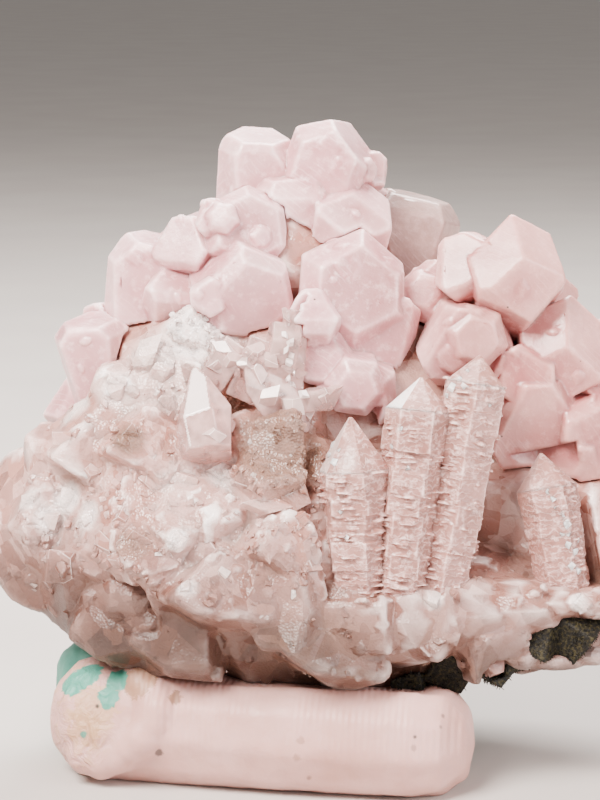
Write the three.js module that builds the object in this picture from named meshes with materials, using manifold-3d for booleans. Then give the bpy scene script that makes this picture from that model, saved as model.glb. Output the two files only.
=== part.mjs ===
// A calcite cluster on a roll of mounting putty.
// Millimetres, +Z up, the shown side faces -Y, the underside of the putty is at Z = 0.
import * as THREE from "three";
import { ConvexGeometry } from "three/addons/geometries/ConvexGeometry.js";
import { mergeVertices } from "three/addons/utils/BufferGeometryUtils.js";
import Module from "manifold-3d";

const wasm = await Module();
wasm.setup();

// Driving dimensions
const pieceGap = 0.3; // clear space between neighbouring pieces
const shortestEdge = 0.3; // corners of a crystal nearer than this are one corner
const finest = 0.05; // steps smaller than this are left out of a finished solid
const paleRoll = {
  at: [-4.7, -6.2, 4], // its middle
  length: 33.8, // end to end
  thickness: 10.6, // its height before it is pressed flat
  depth: 11.5, // front to back
  turn: -9, // degrees, its right end is nearer the viewer
  sag: 0.5, // its right end is lower by this much
  taper: 0.08, // its left end is thinner by this share
};
const tealRoll = {
  at: [-5.4, 4.6, 4.2],
  length: 33,
  thickness: 11,
  depth: 10.5,
  turn: 9,
  sag: 0.2,
  taper: -0.04,
};
const capLean = 24; // degrees between a blocky crystal's long axis and its three cap faces
const bevelLean = 50; // the same for the bevel above each of its sides
const barrelLean = 4; // its sides lean out and in by this by turns
const rootShare = 0.9; // it reaches back from its middle by this share of its length
const flatLidShare = 0.72; // width of a flat lid as a share of its crystal's width
const capShare = 0.8; // the same for three low cap faces
const cleavageLean = 44.6; // degrees between a cleaved block's axis and the faces that calcite splits along
const pointLean = 54; // degrees between a column's axis and the three faces of its tip
const stepHeight = 1.6; // one step of a stepped column
const stepNeck = 0.93; // its narrow part as a share of its wide part
const stepDrop = 0.32; // three corners of a step are this much higher, the others lower
const stepWander = 0.13; // steps stand this far off the column's axis
const columnThinning = 0.16; // a column is thinner at its foot by this share
const sheathShare = 1.12; // the room around a column as a share of its radius

// Numbers between 0 and 1 that are the same on every run
function seeded(seed) {
  let state = seed * 7919 + 17;
  return () => {
    state = (state * 1103515245 + 12345) % 2147483648;
    return state / 2147483648;
  };
}

function spread(random, amount) {
  return amount * (2 * random() - 1);
}

// Solids bounded by flat faces

function face(lean, turn, distance) {
  const tilt = THREE.MathUtils.degToRad(lean);
  const around = THREE.MathUtils.degToRad(turn);
  const out = new THREE.Vector3(
    Math.sin(tilt) * Math.cos(around),
    Math.sin(tilt) * Math.sin(around),
    Math.cos(tilt),
  );
  return { out, distance };
}

function asSolid(geometry) {
  geometry.deleteAttribute("normal");
  geometry.deleteAttribute("uv");
  const merged = mergeVertices(geometry, 1e-4);
  return new wasm.Manifold(new wasm.Mesh({
    numProp: 3,
    vertProperties: new Float32Array(merged.attributes.position.array),
    triVerts: new Uint32Array(merged.index.array),
  }));
}

function meetingPoint(a, b, c) {
  const matrix = new THREE.Matrix3().set(
    a.out.x, a.out.y, a.out.z,
    b.out.x, b.out.y, b.out.z,
    c.out.x, c.out.y, c.out.z,
  );
  if (Math.abs(matrix.determinant()) < 1e-3) {
    return null;
  }
  return new THREE.Vector3(a.distance, b.distance, c.distance).applyMatrix3(matrix.invert());
}

// The corners of the solid that lies behind every face
function cornersOf(faces) {
  const corners = [];
  for (let i = 0; i < faces.length; i += 1) {
    for (let j = i + 1; j < faces.length; j += 1) {
      for (let k = j + 1; k < faces.length; k += 1) {
        const point = meetingPoint(faces[i], faces[j], faces[k]);
        const inside = point && faces.every((f) => f.out.dot(point) < f.distance + 1e-5);
        if (inside && corners.every((c) => c.distanceTo(point) > shortestEdge)) {
          corners.push(point);
        }
      }
    }
  }
  return corners;
}

// A flat-faced solid, its local +Z along axis; grow moves every face out by that much
function flatFaced(faces, { at, axis = [0, 0, 1], turn = 0, stretch = [1, 1, 1] }, grow = 0) {
  const pose = new THREE.Quaternion().setFromUnitVectors(
    new THREE.Vector3(0, 0, 1),
    new THREE.Vector3(...axis).normalize(),
  );
  const spin = new THREE.Quaternion().setFromAxisAngle(
    new THREE.Vector3(0, 0, 1),
    THREE.MathUtils.degToRad(turn),
  );
  pose.multiply(spin);
  const grown = faces.map(({ out, distance }) => ({ out, distance: distance + grow }));
  const corners = cornersOf(grown).map((corner) => (
    corner.applyQuaternion(pose).multiply(new THREE.Vector3(...stretch)).add(new THREE.Vector3(...at))
  ));
  return asSolid(new ConvexGeometry(corners));
}

function joined(solids) {
  return solids.reduce((whole, solid) => whole.add(solid));
}

// The largest connected body, without loose crumbs or closed-in hollows
function oneBody(solid) {
  return solid.decompose().reduce((best, body) => (body.volume() > best.volume() ? body : best));
}

// Blocky crystals: six sides, a bevel above all or every second one, and one flat lid or three cap faces
function blockyFaces({ radius, length, lid, bevels }, random) {
  const faces = [face(180, 0, length * rootShare)];
  const bevel = THREE.MathUtils.degToRad(bevelLean);
  const rim = lid === "flat" ? flatLidShare : capShare;
  const bevelDistance = radius * rim * Math.sin(bevel) + length * Math.cos(bevel);
  for (let side = 0; side < 6; side += 1) {
    const turn = side * 60 + spread(random, 6);
    const barrel = side % 2 ? barrelLean : -barrelLean;
    faces.push(face(90 + barrel, turn, radius * (1 + spread(random, 0.1))));
    if (side % (6 / bevels) === 0) {
      faces.push(face(bevelLean + spread(random, 6), turn, bevelDistance * (1 + spread(random, 0.03))));
    }
  }
  if (lid === "flat") {
    faces.push(face(2 + 4 * random(), 360 * random(), length));
  } else {
    for (let cap = 0; cap < 3; cap += 1) {
      faces.push(face(capLean + spread(random, 3), cap * 120 + 30, length * (1 + spread(random, 0.04))));
    }
  }
  return faces;
}

function blockyCrystal(crystal, grow) {
  const { radius, length = radius * 0.9, lid = "flat", bevels = 3 } = crystal;
  return flatFaced(blockyFaces({ radius, length, lid, bevels }, seeded(crystal.seed)), crystal, grow);
}

function blockyGroup(crystals, grow = 0) {
  return joined(crystals.map((crystal) => blockyCrystal(crystal, grow)));
}

const peakCrystals = [
  { at: [0.7, 5, 47.5], radius: 3.1, length: 3, axis: [-0.22, -0.95, 0.08], turn: 30, seed: 1, bevels: 6 },
  { at: [3.5, 6.6, 46.7], radius: 1.5, length: 1.6, axis: [0.5, -0.6, 0.5], turn: 10, seed: 2 },
  { at: [-5.3, 6, 46], radius: 2.8, length: 4, axis: [0.06, -0.2, 1], turn: 30, seed: 3, bevels: 6 },
  { at: [2.2, 3.2, 42.8], radius: 3, length: 3.2, axis: [0.2, -0.6, 0.8], turn: 0, seed: 4, lid: "three" },
  { at: [-2, 5, 42.2], radius: 3.3, length: 4.8, axis: [0, -0.2, 1], turn: 30, seed: 5, bevels: 6 },
  { at: [-3.4, 10, 43.4], radius: 3.5, axis: [-0.3, 0.7, 0.6], turn: 12, seed: 6, lid: "three" },
  { at: [1.4, 10.4, 43.2], radius: 3.4, axis: [0.4, 0.5, 0.7], turn: 40, seed: 7 },
];

const middleCrystals = [
  { at: [2.4, -0.2, 37.9], radius: 4.1, length: 3.2, axis: [0.12, -0.95, 0.2], turn: 0, seed: 11, bevels: 6 },
  { at: [3.4, 0, 34.6], radius: 3.6, length: 2.9, axis: [0.2, -0.95, -0.05], turn: 4, seed: 12 },
  { at: [-0.6, -3.6, 36], radius: 1.75, length: 2.3, axis: [0, -0.8, 0.6], turn: 30, seed: 13 },
  { at: [0.1, -2.8, 33], radius: 2.2, length: 2.2, axis: [-0.15, -0.95, 0.2], turn: 18, seed: 14 },
  {
    at: [2.9, -3.2, 30.5], radius: 2.9, length: 2.5, axis: [0.1, -0.95, -0.12],
    turn: 14, seed: 15, bevels: 6,
  },
];

const leftCrystals = [
  { at: [-6.2, 2.3, 42.3], radius: 3.2, length: 3, axis: [0.12, -0.9, 0.3], turn: 8, seed: 21, bevels: 6 },
  { at: [-8.2, 0.6, 43.6], radius: 1.3, length: 1.6, axis: [-0.2, -0.9, 0.35], turn: 30, seed: 22 },
  { at: [-10.2, 2.2, 41.2], radius: 2.1, length: 2.3, axis: [-0.4, -0.8, 0.3], turn: 5, seed: 23 },
  { at: [-6.1, 0.2, 38.2], radius: 3.7, length: 3, axis: [0.18, -0.9, -0.2], turn: 22, seed: 24, bevels: 6 },
  { at: [-8.6, -1.6, 37.9], radius: 1.3, length: 1.8, axis: [-0.1, -0.9, 0.1], turn: 0, seed: 25 },
  { at: [-13.9, 4, 37.4], radius: 2.9, length: 4.4, axis: [0.12, -0.14, 1], turn: 22, seed: 26, bevels: 6 },
  { at: [-11.6, 2.4, 36.6], radius: 2.3, length: 3.2, axis: [0.15, -0.6, 0.7], turn: 40, seed: 27 },
  { at: [-9.5, 8, 40], radius: 3.6, axis: [-0.5, 0.3, 0.8], turn: 15, seed: 28, lid: "three" },
];

const farLeftCrystals = [
  {
    at: [-17.6, 2.4, 31.6], radius: 2.7, length: 4, axis: [-0.2, -0.16, 0.95],
    turn: 12, seed: 31, bevels: 6,
  },
  { at: [-15.6, 6, 33], radius: 2.8, length: 3.2, axis: [-0.2, 0.2, 0.9], turn: 42, seed: 32 },
  { at: [-18.2, 7.4, 27.4], radius: 3.2, axis: [-0.8, 0.3, 0.5], turn: 20, seed: 33 },
];

const rightCrystals = [
  {
    at: [15.3, 0.2, 39.2], radius: 3.5, length: 3.7, axis: [0.1, -0.85, 0.45],
    turn: 16, seed: 41, lid: "three",
  },
  { at: [12.2, 0.4, 39.6], radius: 2.5, length: 2.5, axis: [-0.3, -0.8, 0.4], turn: 40, seed: 42 },
  { at: [9.2, 2.4, 37.2], radius: 2.3, length: 2.5, axis: [-0.1, -0.9, 0.3], turn: 8, seed: 43 },
  { at: [11.5, -0.4, 34.2], radius: 3.1, length: 3, axis: [0, -0.95, -0.1], turn: 26, seed: 44 },
  { at: [19, 0, 33.2], radius: 3.4, length: 3, axis: [0.1, -0.9, 0.3], turn: 0, seed: 45, lid: "three" },
  { at: [16.2, -1, 31.6], radius: 2.2, length: 2.4, axis: [-0.1, -0.9, 0.1], turn: 50, seed: 52 },
  {
    at: [23.2, 0.8, 31], radius: 2.9, length: 2.8, axis: [0.4, -0.85, 0.2],
    turn: 20, seed: 46, lid: "three",
  },
  { at: [17.2, 0.4, 28], radius: 3.7, length: 3.5, axis: [0.05, -0.95, -0.2], turn: 36, seed: 47 },
  { at: [21.6, -0.2, 27.4], radius: 3.1, length: 3.1, axis: [0.25, -0.9, -0.1], turn: 10, seed: 48 },
  { at: [20.2, -0.8, 24.6], radius: 2.2, length: 2.4, axis: [0.1, -0.9, -0.3], turn: 30, seed: 49 },
  { at: [16.6, 6.4, 35.8], radius: 3.4, axis: [0.4, 0.3, 0.8], turn: 20, seed: 50 },
  { at: [22.4, 5.6, 30.6], radius: 3.4, axis: [0.8, 0.1, 0.5], turn: 44, seed: 51 },
];

const backCrystals = [
  { at: [7, 10.8, 40.8], radius: 3.5, length: 3.8, axis: [0.2, 0.1, 0.95], turn: 30, seed: 61, bevels: 6 },
  { at: [-5.4, 12.6, 38.4], radius: 4.2, axis: [-0.5, 0.7, 0.5], turn: 8, seed: 62, lid: "three" },
  { at: [-12, 11.4, 34.4], radius: 3.9, axis: [-0.3, 0.9, 0.6], turn: 22, seed: 63 },
  { at: [2, 13.6, 38.6], radius: 3.8, axis: [0.3, 0.8, 0.6], turn: 44, seed: 64 },
  { at: [13.2, 11.8, 35], radius: 4.3, axis: [0.6, 0.6, 0.5], turn: 35, seed: 65, lid: "three" },
  { at: [6.4, 15, 32.8], radius: 4.2, axis: [0, 0.9, 0.3], turn: 14, seed: 66 },
  { at: [-1, 15.6, 33.4], radius: 3.1, axis: [-0.3, 0.9, 0.2], turn: 26, seed: 67, lid: "three" },
  { at: [-7, 14.8, 31], radius: 4.3, axis: [-0.1, 0.9, 0.1], turn: 40, seed: 68 },
  { at: [18.2, 10.6, 29.4], radius: 3.9, axis: [0.7, 0.6, 0.2], turn: 18, seed: 70, lid: "three" },
  { at: [11, 14.2, 28], radius: 3.7, axis: [0.5, 0.8, -0.1], turn: 50, seed: 72 },
];

// Stepped columns: flat three-sided blocks stacked to a plain three-faced point
const columns = [
  { name: "left_column", tip: [2.3, -8.2, 29.4], foot: [3, -9.4, 17.2], radius: 3.05, turn: 90, seed: 81 },
  { name: "middle_column", tip: [7.8, -7, 32.3], foot: [6, -9.9, 17], radius: 2.5, turn: 75, seed: 82 },
  { name: "right_column", tip: [12.4, -5.6, 33.8], foot: [9.3, -8.8, 17], radius: 2.5, turn: 98, seed: 83 },
  { name: "side_column", tip: [17.3, -4.8, 25.9], foot: [19.1, -7.2, 16.6], radius: 2.5, turn: 60, seed: 84 },
];

function columnPose({ tip, foot, turn }) {
  const top = new THREE.Vector3(...tip);
  const along = top.clone().sub(new THREE.Vector3(...foot));
  return { top, length: along.length(), axis: along.normalize().toArray(), turn };
}

// The three faces of the point, with sides far enough out to cut nothing
function pointFaces(radius, length) {
  const faces = [face(180, 0, length + 2)];
  for (let side = 0; side < 3; side += 1) {
    faces.push(face(pointLean, side * 120, 0));
    faces.push(face(100, side * 120, radius * 3));
    faces.push(face(90, side * 120 + 60, radius * 2));
  }
  return faces;
}

// Each step swells and draws in again, and its three upper corners lie between its three lower ones
function steppedColumn(column) {
  const random = seeded(column.seed);
  const { top, length, axis, turn } = columnPose(column);
  const profile = [new THREE.Vector2(0, 0)];
  const shoulder = column.radius * 0.6;
  let down = shoulder;
  while (down < length) {
    const step = stepHeight * (1 + spread(random, 0.35));
    const size = column.radius * (1 - columnThinning * (down / length)) * (1.03 + spread(random, 0.05));
    profile.push(new THREE.Vector2(size * stepNeck, -down));
    profile.push(new THREE.Vector2(size, -down - step * 0.6));
    down += step;
  }
  profile.push(new THREE.Vector2(0, -length - stepHeight));
  const geometry = new THREE.LatheGeometry(profile.reverse(), 6);
  geometry.rotateX(Math.PI / 2);
  geometry.rotateZ(Math.PI / 6);
  const position = geometry.attributes.position;
  const point = new THREE.Vector3();
  for (let i = 0; i < position.count; i += 1) {
    point.fromBufferAttribute(position, i);
    const corner = Math.round((Math.atan2(point.y, point.x) * 3) / Math.PI) % 2 === 0 ? 1 : -1;
    const reach = 1 + 0.05 * corner * Math.sin(point.z * 2.1);
    const onAxis = Math.hypot(point.x, point.y) < 0.01;
    const aside = onAxis ? 0 : stepWander * Math.sin(point.z * 3.7 + column.seed);
    const drop = onAxis ? 0 : stepDrop * corner;
    position.setXYZ(i, point.x * reach + aside, point.y * reach - aside, point.z + drop);
  }
  const pose = new THREE.Quaternion().setFromUnitVectors(
    new THREE.Vector3(0, 0, 1),
    new THREE.Vector3(...axis),
  );
  geometry.rotateZ(THREE.MathUtils.degToRad(turn));
  geometry.applyQuaternion(pose);
  geometry.translate(...top.toArray());
  const pointed = flatFaced(pointFaces(column.radius, length), { at: top.toArray(), axis, turn });
  return asSolid(geometry).intersect(pointed);
}

// The room that a column takes up in the mass around it
function columnSheath(column) {
  const { top, length, axis, turn } = columnPose(column);
  const radius = column.radius * sheathShare + pieceGap;
  const faces = [face(0, 0, pieceGap * 2), face(180, 0, length + stepHeight)];
  for (let side = 0; side < 6; side += 1) {
    faces.push(face(90, side * 60, radius));
  }
  return flatFaced(faces, { at: top.toArray(), axis, turn });
}

// Glassy crystals left of the middle
const clearPoint = { at: [-8.9, -8, 29.4], axis: [-0.16, 0.3, 0.94], turn: 14 };

function clearPointFaces() {
  const faces = [face(180, 0, 4)];
  for (let side = 0; side < 6; side += 1) {
    faces.push(face(side % 2 ? 68 : 62, side * 60, 1.75 + 0.1 * (side % 3)));
    faces.push(face(92, side * 60 + 8, 2.05));
  }
  return faces;
}

const ribCount = 3; // parallel plates of one broken crystal

function ribFaces(length) {
  return [
    face(180, 0, length), face(30, 90, length * 0.93), face(26, 250, length * 0.95),
    face(90, 0, 1.05), face(90, 180, 0.95), face(90, 90, 1.7), face(90, 270, 1.5),
  ];
}

function shardFaces(width, height, thickness) {
  return [
    face(60, 0, height * 0.5), face(62, 170, height * 0.5), face(180, 0, height * 0.42),
    face(90, 90, thickness), face(90, 270, thickness), face(90, 0, width), face(90, 180, width),
    face(70, 300, thickness * 1.1),
  ];
}

function brokenCrystals(grow = 0) {
  const solids = [];
  for (let rib = 0; rib < ribCount; rib += 1) {
    const share = rib / (ribCount - 1);
    const at = [-7.6 + 4.4 * share, -4.7 - 0.5 * share, 32.9 + 0.9 * share - (rib % 2) * 0.5];
    const pose = { at, axis: [0.5 - 0.3 * share, -0.25, 0.8], turn: -12 + 9 * rib };
    solids.push(flatFaced(ribFaces(2 + 0.25 * (rib % 3)), pose, grow));
  }
  const shards = [
    { at: [-2.2, -5.2, 33.6], axis: [0.12, -0.1, 1], turn: 8, size: [0.85, 5.6, 0.9] },
    { at: [-3.4, -6, 30.4], axis: [-0.5, -0.2, 0.8], turn: 12, size: [1.6, 4.6, 1] },
    { at: [-1.6, -6.2, 29.2], axis: [0.75, -0.3, 0.5], turn: -10, size: [1.3, 3.9, 0.95] },
  ];
  for (const { at, axis, turn, size } of shards) {
    solids.push(flatFaced(shardFaces(...size), { at, axis, turn }, grow));
  }
  return joined(solids);
}

// The broken mass: large lumps with smaller cleaved blocks and ledges on them; size is half of each extent
const lumps = [
  { at: [0, 1.2, 16.8], size: [16, 11.8, 9.4], seed: 101 },
  { at: [-12, 0.5, 18.5], size: [12, 10.5, 9], seed: 102 },
  { at: [13, 3, 16], size: [12, 9.8, 8.4], seed: 103 },
  { at: [0, 5.5, 28.2], size: [12, 9.6, 9.6], seed: 104 },
  { at: [-9.5, 4, 27.5], size: [8.6, 8.2, 8.4], seed: 105 },
  { at: [12.6, 6.6, 28.5], size: [9, 6.6, 9], seed: 106 },
  { at: [-1, 7, 39], size: [6.5, 6, 7], seed: 107 },
  { at: [-18.6, 1.8, 18.4], size: [7.8, 7, 7.4], seed: 108 },
  { at: [21, 1.5, 16.5], size: [6.4, 8, 7.5], seed: 109 },
];

// Rings of faces from top to bottom: how far they lean and how many there are
const lumpRings = [[22, 3], [64, 5], [108, 5], [165, 1]];

function lumpFaces(random) {
  const faces = [];
  for (const [lean, count] of lumpRings) {
    for (let i = 0; i < count; i += 1) {
      const turn = (i * 360) / count + spread(random, 14);
      faces.push(face(lean + spread(random, 7), turn, 1 + spread(random, 0.06)));
    }
  }
  return faces;
}

function lumpSolid({ at, size, seed }, grow) {
  const largest = Math.max(...size);
  const faces = lumpFaces(seeded(seed)).map(({ out, distance }) => ({ out, distance: distance * largest }));
  const stretch = size.map((part) => (part + grow * 1.6) / largest);
  return flatFaced(faces, { at, stretch });
}

const chipCount = 2; // broken corners of a block

// A cleaved block: three pairs of cleavage faces, some corners broken off
function cleavedFaces(size, chips, random) {
  const faces = [];
  for (let pair = 0; pair < 3; pair += 1) {
    faces.push(face(cleavageLean, pair * 120, size * (0.8 + 0.4 * random())));
    faces.push(face(180 - cleavageLean, pair * 120 + 180, size * (0.8 + 0.4 * random())));
  }
  for (let chip = 0; chip < chips; chip += 1) {
    const lean = 25 + (130 * (chip + random())) / chips;
    faces.push(face(lean, 222 * chip + spread(random, 30), size * (0.92 + 0.14 * random())));
  }
  return faces;
}

// The mass is made of a few regions, and the blocks of one region split in the same directions
const grainAxes = [[0.35, -0.75, 0.55], [-0.5, -0.6, 0.65], [0.15, -0.35, 0.95], [-0.2, -0.9, 0.1]];

function cleavedBlock({ at, size, grain, chips = chipCount, seed }, grow = 0) {
  const random = seeded(seed);
  const axis = grainAxes[grain % grainAxes.length].map((part) => part + spread(random, 0.1));
  return flatFaced(cleavedFaces(size, chips, random), { at, axis, turn: 25 * grain }, grow);
}

// Ledges and blocks that show on the front
const ledges = [
  { at: [-23.4, -1.4, 17.6], size: 3.5, grain: 1 },
  { at: [-20.8, -2.2, 23.6], size: 2.7, grain: 0 },
  { at: [-17.4, -3.2, 26.4], size: 2.7, grain: 2 },
  { at: [-15.2, -1, 29.4], size: 2.6, grain: 1 },
  { at: [-11.8, -1, 32.4], size: 2.7, grain: 1 },
  { at: [-8.8, -0.6, 35], size: 2.1, grain: 2 },
  { at: [-13.4, -4.8, 27], size: 2.5, grain: 2 },
  { at: [-19, -5.4, 16.4], size: 3, grain: 3 },
  { at: [-10, -8.8, 20.4], size: 2.8, grain: 3 },
  { at: [-7.2, -10.6, 16.4], size: 2.9, grain: 2 },
  { at: [-16, -7, 12.8], size: 3, grain: 1 },
  { at: [-4.2, -8.8, 23.6], size: 2, grain: 3 },
  { at: [-3.2, -6.4, 27.6], size: 2.5, grain: 1 },
  { at: [-2.6, -10.2, 19.6], size: 2.3, grain: 2 },
  { at: [-2.4, -11.2, 15], size: 2.7, grain: 0 },
  { at: [-10.4, -8.6, 11.6], size: 2.8, grain: 0 },
  { at: [1.4, -10.4, 11.2], size: 2.9, grain: 2 },
  { at: [3.8, -10.4, 15.6], size: 2.7, grain: 0 },
  { at: [8.4, -9.8, 14.2], size: 2.8, grain: 0 },
  { at: [12.4, -8.4, 12.6], size: 2.6, grain: 3 },
  { at: [16, -6.6, 15.8], size: 2.2, grain: 1 },
  { at: [22.6, -4.8, 15.4], size: 3.3, grain: 2 },
  { at: [23.6, -2, 20.4], size: 2.8, grain: 1 },
  { at: [17.8, -6.2, 9.8], size: 2.8, grain: 0 },
  { at: [19.4, -7.6, 10.2], size: 1.5, grain: 2 },
  { at: [20.4, -6.4, 14.8], size: 1.9, grain: 0 },
];

// Ledges on the back, in three rows that follow its curve
const backLedgeCount = 7;
const backWidth = 42;
const rowHeight = 5.6;

function backLedges() {
  const random = seeded(211);
  const blocks = [];
  for (let i = 0; i < backLedgeCount; i += 1) {
    const across = backWidth * ((i + 0.5) / backLedgeCount - 0.5);
    const row = (i * 2) % 3;
    const up = 12 + row * rowHeight + spread(random, 1.4);
    const bulge = 10.8 - 0.016 * across * across - 1.1 * Math.abs(row - 1);
    blocks.push({ at: [across, bulge + spread(random, 1), up], size: 3.2 + random(), grain: i % 4 });
  }
  return blocks;
}

// Pits in the front: a cavity on the right and a smaller one on the left
const hollows = [
  { at: [15, -7.6, 19.6], size: 4.2, grain: 1 },
  { at: [-14.4, -10, 15.4], size: 2.2, grain: 0 },
];

// The underside slopes up to both ends and is chamfered at the front and back
const undersideMiddle = [0, 1, 20];

function undersideFaces() {
  return [
    face(130, 180, 22.6), face(152, 186, 17), face(176, 170, 12), face(172.5, 8, 12.9), face(150, 0, 22),
    face(148, 262, 15.6), face(150, 100, 15.2), face(128, 300, 19.4), face(126, 60, 20),
    face(90, 0, 27.5), face(90, 180, 27.5), face(90, 90, 20), face(90, 270, 20), face(0, 0, 40),
    face(112, 226, 21.6), face(110, 140, 21),
  ];
}

function aboveUnderside(solid, grow = 0) {
  return solid.intersect(flatFaced(undersideFaces(), { at: undersideMiddle }, grow));
}

function hollowsOf(grow = 0) {
  return joined(hollows.map((hollow, i) => cleavedBlock({ ...hollow, seed: 501 + i }, -grow)));
}

function massCore(grow = 0) {
  const solid = joined(lumps.map((lump) => lumpSolid(lump, grow)));
  return aboveUnderside(solid, grow).subtract(hollowsOf(grow));
}

function massLedges() {
  const blocks = [...ledges, ...backLedges()].map((block, i) => ({ ...block, seed: 301 + i }));
  const solid = joined(blocks.map((block) => cleavedBlock(block)));
  return aboveUnderside(solid).subtract(hollowsOf());
}

// Dark mineral along the right of the underside
const darkLumps = [
  { at: [7.2, -6.6, 9.2], size: 1.3 },
  { at: [10.4, -7.4, 9.5], size: 1.4 },
  { at: [13.4, -8, 10.1], size: 1.4 },
  { at: [15.4, -8.2, 11], size: 1.05 },
  { at: [17.3, -8.4, 11.9], size: 1.25 },
  { at: [19.6, -8.4, 12.4], size: 1.35 },
];

function darkMineral(grow = 0) {
  return joined(darkLumps.map((lump, i) => (
    cleavedBlock({ ...lump, grain: i, chips: 0, seed: 411 + i }, grow)
  )));
}

const pocketCrystal = {
  at: [13.4, -9.6, 9.9], radius: 0.75, length: 0.9, axis: [0.3, -0.8, 0.5], turn: 0, seed: 90,
};

// Putty: a roll with rounded ends, flat underneath and pressed down where the stone sits
const rollSides = 12;
const endSteps = 3; // rings that round each end

function puttyRoll(roll, grow = 0) {
  const profile = [];
  const half = roll.length / 2 + grow;
  const endLength = roll.thickness * 0.42;
  for (let i = 0; i <= endSteps; i += 1) {
    const angle = (Math.PI / 2) * (i / endSteps);
    profile.push(new THREE.Vector2(Math.sin(angle), -half + endLength * (1 - Math.cos(angle))));
  }
  for (const share of [-0.35, 0.3]) {
    profile.push(new THREE.Vector2(1.02, share * (half - endLength)));
  }
  for (let i = endSteps; i >= 0; i -= 1) {
    const angle = (Math.PI / 2) * (i / endSteps);
    profile.push(new THREE.Vector2(Math.sin(angle), half - endLength * (1 - Math.cos(angle))));
  }
  const geometry = new THREE.LatheGeometry(profile, rollSides);
  geometry.rotateZ(-Math.PI / 2);
  const position = geometry.attributes.position;
  const point = new THREE.Vector3();
  for (let i = 0; i < position.count; i += 1) {
    point.fromBufferAttribute(position, i);
    const share = point.x / half;
    const swell = 1 + roll.taper * share + 0.03 * Math.sin(share * 5 + 1);
    point.y *= (roll.depth / 2 + grow) * swell;
    point.z *= (roll.thickness / 2 + grow) * swell;
    point.z += roll.at[2] - roll.sag * share;
    position.setXYZ(i, point.x, point.y, Math.max(point.z, -grow));
  }
  geometry.rotateZ(THREE.MathUtils.degToRad(roll.turn));
  geometry.translate(roll.at[0], roll.at[1], 0);
  return asSolid(geometry);
}

// Nodes

const whole = new THREE.Group();

function addNode(name, solid, colour, roughness) {
  const mesh = oneBody(solid.simplify(finest)).getMesh();
  const geometry = new THREE.BufferGeometry();
  geometry.setAttribute("position", new THREE.BufferAttribute(new Float32Array(mesh.vertProperties), 3));
  geometry.setIndex(new THREE.BufferAttribute(new Uint32Array(mesh.triVerts), 1));
  const material = new THREE.MeshStandardMaterial({ color: colour, roughness, metalness: 0 });
  const node = new THREE.Mesh(geometry, material);
  node.name = name;
  whole.add(node);
}

const crystalPink = "#e6d0d0";
const crystalGrey = "#c4aca9";
const massTan = "#cdb2a6";
const glassClear = "#ead9d6";
const darkOlive = "#2b2418";
const puttyPale = "#e6d3ce";
const puttyTeal = "#74b3a4";

const blockyGroups = [
  { name: "middle_crystals", crystals: middleCrystals, colour: crystalPink },
  { name: "left_crystals", crystals: leftCrystals, colour: crystalPink },
  { name: "right_crystals", crystals: rightCrystals, colour: crystalPink },
  { name: "peak_crystals", crystals: peakCrystals, colour: crystalPink },
  { name: "far_left_crystals", crystals: farLeftCrystals, colour: crystalPink },
  { name: "back_crystals", crystals: backCrystals, colour: crystalGrey },
];

const columnRoom = joined(columns.map(columnSheath));
const clearPointRoom = flatFaced(clearPointFaces(), clearPoint, pieceGap);
const coreRoom = massCore(pieceGap);
const shownRoom = columnRoom.add(clearPointRoom);

columns.forEach((column, i) => {
  const later = columns.slice(i + 1).map(columnSheath);
  const solid = later.reduce((left, sheath) => left.subtract(sheath), steppedColumn(column));
  addNode(column.name, solid, crystalPink, 0.35);
});
addNode("clear_point", flatFaced(clearPointFaces(), clearPoint), glassClear, 0.12);
addNode("broken_crystals", brokenCrystals().subtract(shownRoom).subtract(coreRoom), glassClear, 0.15);

let crystalRoom = joined([shownRoom, brokenCrystals(pieceGap)]);
for (const { name, crystals, colour } of blockyGroups) {
  addNode(name, blockyGroup(crystals).subtract(coreRoom).subtract(crystalRoom), colour, 0.3);
  crystalRoom = crystalRoom.add(blockyGroup(crystals, pieceGap));
}

const pocketRoom = blockyCrystal(pocketCrystal, pieceGap);
const darkRoom = darkMineral(pieceGap);
addNode("pocket_crystal", blockyCrystal(pocketCrystal, 0), "#a9a39c", 0.3);
addNode("dark_mineral", darkMineral().subtract(pocketRoom).subtract(coreRoom), darkOlive, 0.6);

const ledgeMass = massLedges().subtract(crystalRoom).subtract(darkRoom);
addNode("matrix", massCore().add(ledgeMass).subtract(shownRoom).subtract(pocketRoom), massTan, 0.45);

const stoneRoom = flatFaced(undersideFaces(), { at: undersideMiddle }, pieceGap).add(darkRoom);
const tealRoom = puttyRoll(tealRoll, pieceGap);
addNode("putty_roll", puttyRoll(paleRoll).subtract(stoneRoom).subtract(tealRoom), puttyPale, 0.7);
addNode("teal_putty", puttyRoll(tealRoll).subtract(stoneRoom), puttyTeal, 0.75);

// The model stands on Z = 0 with the middle of its box over the origin
const box = new THREE.Box3().setFromObject(whole);
const middle = box.getCenter(new THREE.Vector3());
whole.position.set(-middle.x, -middle.y, -box.min.z);

export default whole;
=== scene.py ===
import random
from functools import partial
from math import atan, cos, pi, radians, sin, sqrt, tan, tau

import bpy
import numpy as np
from mathutils import Matrix, Quaternion, Vector
from mathutils.bvhtree import BVHTree


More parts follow.
